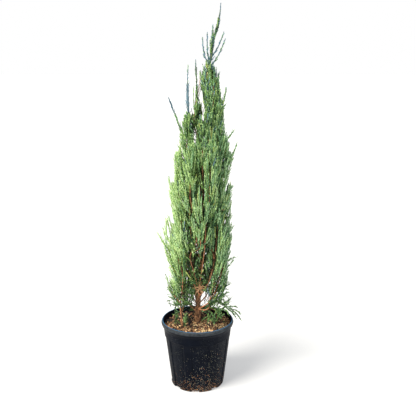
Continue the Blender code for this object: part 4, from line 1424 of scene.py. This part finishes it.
def grow_fingers(crown, trunk):
    """Leafy shoots that part from the trunk near its top and end at their tips."""
    finger_green = lambda point, rng: crown.green(point, 0.004, FINGER_TINT)
    for *tip, foot in millimetres(FINGERS):
        start = trunk.middle(foot)
        knee = start + (tip - start) * (0.85, 0.85, 0.40)  # out to the side first, and then up
        crown.twigs.append((smooth_path([start, knee, tip], 8), *FINGER_RADII))
        limb = Limb([start, knee, tip], *FINGER_RADII, 24)
        crown.rope(limb, 0.12, (0.020, 0.034), 0.0038, finger_green, 1.0)


# Low twigs that the photograph shows by the rim, in millimetres: where each leaves its limb, where it ends,
# and how far its last part fans out.
LOW_TWIGS = (
    # right of the trunk
    (30, 0, 345, 62, -30, 400, 34), (44, -20, 328, 78, -45, 372, 34), (60, -28, 350, 98, -30, 420, 40),
    (72, -32, 366, 112, -25, 392, 38), (72, -32, 366, 112, -10, 450, 40), (44, -20, 328, 88, -55, 338, 36),
    (60, -40, 338, 94, -72, 314, 26), (44, -20, 328, 66, -68, 312, 26), (44, -20, 328, 56, -36, 352, 26),
    (50, 30, 345, 90, 45, 392, 40), (50, 30, 345, 104, 50, 350, 40), (30, 10, 350, 66, 20, 440, 40),
    (60, -28, 350, 112, -45, 356, 42), (60, -28, 350, 98, -60, 376, 40), (44, -20, 328, 94, -70, 332, 34),
    (44, -20, 322, 48, -58, 296, 28), (50, -22, 326, 72, -66, 292, 30), (20, 30, 400, 30, 60, 520, 34),
    # left of it
    (-64, -26, 350, -100, -40, 376, 40), (-64, -26, 340, -88, -20, 340, 34),
    (-64, -26, 370, -96, -10, 410, 40), (-64, -26, 345, -94, -30, 394, 32),
    (-62, -24, 318, -92, -32, 352, 28), (-63, -26, 322, -84, -62, 318, 26),
    (-62, -26, 316, -45, -66, 312, 26), (-10, -4, 330, -40, -30, 350, 30), (-6, -4, 350, -40, -40, 392, 32),
    (-62, -26, 330, -46, -48, 362, 30), (-64, -26, 345, -74, -40, 410, 34),
    (-64, -26, 325, -70, -40, 352, 28), (-4, 4, 340, -44, 34, 396, 36), (-10, 10, 335, -60, 40, 350, 36),
    (-4, 4, 360, -24, 20, 430, 36), (-8, -4, 340, -27, -20, 372, 28), (-6, -4, 372, -24, -22, 398, 26),
    (-10, 4, 318, -36, -4, 344, 28), (-8, 10, 350, -30, 30, 376, 30), (-6, 20, 330, -14, 60, 390, 30),
    (-62, -26, 300, -50, -60, 290, 26), (-63, -26, 310, -86, -50, 296, 28),
    # before and behind it
    (4, -6, 405, -8, -46, 446, 30), (8, -6, 410, 30, -45, 450, 30), (4, -6, 390, -20, -48, 416, 28),
    (8, -6, 400, 34, -48, 416, 28), (4, 18, 350, 10, 66, 392, 36), (6, 10, 400, 54, 40, 440, 36),
)
FAN_TIPS = 4
# The spray that hangs out over the rim on the right, with its tips where the photograph has them.
OVERHANG = ((44, -20, 328), (85, -50, 338), (117, -58, 352), (136, -60, 347))
OVERHANG_TIPS = (
    (129, -80, 325), (129, -60, 364), (157, -78, 314), (162, -50, 348), (178, -66, 300), (176, -60, 322),
)


def grow_low_twigs(crown):
    """Each low twig ends in a fan of tips that spread to both sides of its heading."""
    rng = crown.rng
    for row in millimetres(LOW_TWIGS):
        foot, end, reach = row[0:3], row[3:6], row[6]
        heading = unit(end - foot)
        across = unit(np.cross(heading, (0.2, 1.0, 0.1)))
        middle = (foot + end) / 2 + UP * 0.006
        tips = []
        for turn in np.linspace(-1.0, 1.0, FAN_TIPS) + rng.uniform(-0.15, 0.15, FAN_TIPS):
            way = heading * math.cos(turn) + across * math.sin(turn) + UP * 0.25
            way = unit(way + rng.normal(0.0, 0.2, 3))
            tips.append(end - heading * reach * 0.5 + way * reach * rng.uniform(0.75, 1.1))
        crown.fan([foot, middle, end], tips, low_green, 0.85)
    crown.fan(millimetres(OVERHANG), millimetres(OVERHANG_TIPS), low_green, 1.1)


# ---------------------------------------------------------------- mulch

MULCH_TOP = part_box("potting_mix")[1].z
CHIP_TONES = {
    "gold": (236, 202, 152),
    "tan": (190, 148, 102),
    "rust": (128, 88, 58),
    "brown": (80, 56, 38),
    "dark": (24, 18, 18),
}
CHIPS = 5200
CHIP_LENGTHS, LONG_CHIPS, LONG_CHIP_SCALE = (0.0018, 0.0056), 0.10, 1.7
SHORTEST_CHIP = 0.002  # by the wall
CHIP_WIDTHS, CHIP_THICKNESSES = (0.22, 0.55), (0.25, 0.6)  # as shares of the length, and of the width
CHIP_TILTS = (0.50, 0.60)  # how far they are pitched and rolled
CHIP_RISE = (-0.001, 0.0075)  # how far their middles lie above the bed
# How tones are dealt to chips, in levels from gold at 0 to dark at 4.
CHIP_LEVEL, CHIP_LEVEL_SPREAD = 3.40, 1.70
SUNNY_SIDES, SUNNY_FRONT, SUNNY_LIFT = 3.4, 3.0, 2.2  # paler to both sides of the hollow and to the front
PATCH_LIFT, PATCH_SIZE = 1.5, 30.0
# Painted shade: chips in the hollow beside the trunk are dealt deeper tones.
HOLLOW_PAINTED_SHADE = 1.2
# Painted light: chips about the trunk, where the crown shades them, are dealt paler tones.
TRUNK_PAINTED_LIGHT, NEAR_TRUNK = 1.3, 0.060  # paler about the trunk, within about this distance
HOLLOW, HOLLOW_RADIUS, HOLLOW_DEPTH = (-0.036, 0.020), 0.020, 0.007  # a dark hollow beside the trunk
MULCH_DROP, MULCH_SLOPES = 0.0035, (0.018, 0.006)  # higher towards the right and the front
MULCH_WAVE, MULCH_WAVE_STEPS = 0.0030, 22.0
BED_DROP, BED_GRAIN, BED_GRAIN_STEPS = 0.0035, 0.0022, 160.0
BED_RINGS, BED_COLUMNS = 40, 128


def in_hollow(x, y):
    """From 0 to 1: how deep in the hollow these places are."""
    return np.exp(-((x - HOLLOW[0]) ** 2 + (y - HOLLOW[1]) ** 2 / 4.0) / HOLLOW_RADIUS**2)


def mulch_height(x, y):
    """How high the mulch lies here."""
    wave = noise.noise(Vector((x * MULCH_WAVE_STEPS, y * MULCH_WAVE_STEPS, 1.7))) * MULCH_WAVE
    slope = MULCH_SLOPES[0] * x + MULCH_SLOPES[1] * max(0.0, -y)
    return MULCH_TOP - MULCH_DROP + slope + wave - HOLLOW_DEPTH * in_hollow(x, y)


def make_mulch_bed():
    """The dark damp bed between the chips."""
    radius = wall_radius(0.250) - WALL_THICKNESS - 0.001
    points = []
    for ring in range(BED_RINGS):
        out = radius * (ring + 0.5) / (BED_RINGS - 0.5)
        for column in range(BED_COLUMNS):
            x, y, _ = out * level(TURN * column / BED_COLUMNS)
            grain = noise.noise(Vector((x * BED_GRAIN_STEPS, y * BED_GRAIN_STEPS, 4.0))) * BED_GRAIN
            points.append((x, y, mulch_height(x, y) - BED_DROP + grain))
    cap = cap_faces(0, BED_COLUMNS, len(points))
    points.append((0.0, 0.0, mulch_height(0.0, 0.0)))
    bed = mesh_object("mulch_bed", np.array(points), grid_faces(BED_RINGS, BED_COLUMNS), cap)
    tones = ((0.35, (16, 12, 12)), (0.55, (40, 28, 22)), (0.72, (84, 58, 40)))
    stops = [(place, srgb(*tone)) for place, tone in tones]
    material = grained_material("mulch_bed", (260.0, 5.0, 0.7), stops, 0.95, (0.8, 0.002))
    finish_piece(bed, material, ["potting_mix"])


def turned(shapes, axis, turns):
    """Each shape turned about this axis by its own angle."""
    a, b = [i for i in range(3) if i != axis]
    c, s = np.cos(turns)[:, None], np.sin(turns)[:, None]
    shapes = shapes.copy()
    first, second = shapes[..., a] * c - shapes[..., b] * s, shapes[..., a] * s + shapes[..., b] * c
    shapes[..., a], shapes[..., b] = first, second
    return shapes


def make_chips():
    """Splintery chips lying any way up, dealt to tones by where they lie, with painted light in the sunny
    places and about the trunk and painted shade in the hollow.
    """
    rng = np.random.default_rng(SEED + 3)
    radius = wall_radius(0.252) - WALL_THICKNESS - 0.002
    out = radius * np.sqrt(rng.random(CHIPS))
    angle = rng.uniform(0.0, TURN, CHIPS)
    x, y = out * np.cos(angle), out * np.sin(angle)
    length = rng.uniform(*CHIP_LENGTHS, CHIPS)
    length = length * np.where(rng.random(CHIPS) < LONG_CHIPS, LONG_CHIP_SCALE, 1.0)
    length = np.minimum(length, np.maximum(SHORTEST_CHIP, radius + 0.002 - out))
    width = length * rng.uniform(*CHIP_WIDTHS, CHIPS)
    thick = width * rng.uniform(*CHIP_THICKNESSES, CHIPS)
    patch = np.array([noise.noise(Vector((a * PATCH_SIZE, b * PATCH_SIZE, 9.0))) for a, b in zip(x, y)])
    # Painted light and shade: paler in the sunny places and about the trunk, deeper in the hollow.
    sunny = SUNNY_SIDES * np.abs(x - HOLLOW[0]) - SUNNY_FRONT * y
    tone = CHIP_LEVEL - SUNNY_LIFT * sunny - PATCH_LIFT * patch + HOLLOW_PAINTED_SHADE * in_hollow(x, y)
    tone = tone - TRUNK_PAINTED_LIGHT * np.exp(-(out**2) / NEAR_TRUNK**2) + rng.normal(0.0, CHIP_LEVEL_SPREAD, CHIPS)
    tone = np.clip(np.round(tone), 0, len(CHIP_TONES) - 1).astype(int)
    yaw = rng.uniform(0.0, TURN, CHIPS)
    pitch, roll = (rng.normal(0.0, tilt, CHIPS) for tilt in CHIP_TILTS)
    corners = np.array([(i, j, k) for i in (-1, 1) for j in (-1, 1) for k in (-1, 1)], float)
    shapes = corners[None] * np.stack((length, width, thick), 1)[:, None]
    shapes *= rng.uniform(0.55, 1.15, shapes.shape)
    for axis, turns in ((0, roll), (1, pitch), (2, yaw)):
        shapes = turned(shapes, axis, turns)
    z = np.array([mulch_height(a, b) for a, b in zip(x, y)]) + rng.uniform(*CHIP_RISE, CHIPS)
    shapes += np.stack((x, y, z), 1)[:, None]
    box = np.array([(0, 1, 3, 2), (4, 6, 7, 5), (0, 4, 5, 1), (2, 3, 7, 6), (0, 2, 6, 4), (1, 5, 7, 3)])
    for number, (name, colour) in enumerate(CHIP_TONES.items()):
        mine = shapes[tone == number]
        piece = mesh_object(f"chips_{name}", mine.reshape(-1, 3), copies(box, len(mine), 8), smooth=False)
        stops = tone_stops(colour, (0.36, 0.62), (0.56, 1.12))
        looks = (stops, 0.88, (0.5, 0.0005), (1.0, 0.35, 1.0))
        material = grained_material(f"chips_{name}", (700.0, 4.0, 0.7), *looks)
        finish_piece(piece, material)


# ---------------------------------------------------------------- studio


FLOOR_HALF = 60.0
FLOOR_GREY, FLOOR_GLOW = 0.46, 0.30  # it glows as a lit studio sweep does, so that shadows on it stay pale
AMBIENT = 0.63
WHITE = (1.0, 1.0, 1.0)
KEY = {"towards": (-0.77, -0.64, 1.45), "energy": 5.3, "angle": 28.0, "color": (1.0, 0.97, 0.90)}
FILL = {"towards": (0.85, -0.50, 0.45), "energy": 1.0, "angle": 60.0, "color": (0.78, 0.88, 1.0)}


def make_floor():
    corners = np.array([(-1, -1, 0), (1, -1, 0), (1, 1, 0), (-1, 1, 0)]) * FLOOR_HALF
    floor = mesh_object("floor", corners, [(0, 1, 2, 3)])
    nodes = Nodes("floor")
    nodes.base((FLOOR_GREY,) * 3)
    nodes.rough(0.9)
    nodes.put(nodes.shader, "Specular IOR Level", 0.1)
    nodes.put(nodes.shader, "Emission Color", WHITE)
    nodes.put(nodes.shader, "Emission Strength", FLOOR_GLOW)
    floor.data.materials.append(nodes.material)


def make_world():
    """White as the camera sees it, but dimmer as a light, as in a studio with a lit white backdrop."""
    world = bpy.data.worlds.new("studio")
    world.use_nodes = True
    tree = world.node_tree
    paths = tree.nodes.new("ShaderNodeLightPath")
    strength = tree.nodes.new("ShaderNodeMapRange")
    strength.inputs["To Min"].default_value = AMBIENT
    tree.links.new(paths.outputs["Is Camera Ray"], strength.inputs["Value"])
    tree.links.new(strength.outputs["Result"], tree.nodes["Background"].inputs["Strength"])
    tree.nodes["Background"].inputs["Color"].default_value = (*WHITE, 1.0)
    bpy.context.scene.world = world


def make_light(name, towards, energy, angle, color):
    """A broad, even light from far off: towards points from the object to it."""
    data = bpy.data.lights.new(name, "SUN")
    data.energy = energy
    data.angle = math.radians(angle)
    data.color = color
    lamp = bpy.data.objects.new(name, data)
    lamp.rotation_euler = Vector(towards).to_track_quat("Z", "Y").to_euler()
    bpy.context.scene.collection.objects.link(lamp)


# ---------------------------------------------------------------- all of it


BOUGH_TONE, FLAKE_TONE, STUB_TONE = (208, 142, 100), (214, 162, 118), (240, 194, 146)
TWIG_TONE, HIGH_TWIG_TONE = (98, 66, 42), (52, 66, 38)
# Where short branches fill the middle: from and to these heights, their step, the longest, and their sprays.
FILLINGS = (
    (0.390, 0.56, 0.0030, 0.085, SHORT_SPRAYS),
    (0.56, 1.06, 0.0045, 0.090, SPRAY_LENGTHS),
    (1.06, 1.22, 0.0050, 0.040, SPRAY_LENGTHS),
)


def main():
    make_camera()
    make_world()
    make_light("key", **KEY)
    make_light("fill", **FILL)
    make_floor()
    bpy.context.scene.view_settings.view_transform = "Standard"

    make_pot(pot_material())
    make_mulch_bed()
    make_chips()
    make_pot_crumbs("soil_crumbs", SEED + 11)
    make_pot_crumbs("pale_crumbs", SEED + 12)

    trunk = make_trunk(bark_material())
    plumes = plume_limbs(trunk)
    limbs = [*plumes.values(), *fork_limbs(trunk)]
    make_flakes(trunk, twig_material("trunk_flakes", FLAKE_TONE))
    make_stubs(twig_material("fork_stubs", STUB_TONE))
    make_bough_bark(limbs, twig_material("bough_bark", BOUGH_TONE))

    crown = Crown(trunk, SEED)
    for name in PLUMES:
        crown.plume(name, plumes[name])
    for filling in FILLINGS:
        crown.fill(*filling)
    grow_shoots(crown, trunk, plumes)
    grow_fingers(crown, trunk)
    grow_fringe(crown, plumes.values())
    grow_low_twigs(crown)
    for limb in limbs:
        crown.sprigs(limb, *SPRIG_HEIGHTS)
    grow_fallen(crown)
    make_twigs(crown, twig_material("twig_bark", TWIG_TONE, HIGH_TWIG_TONE))
    pieces = make_foliage(crown)
    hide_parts(*PLUMES, *SPRAYS, "mass_leader")


main()
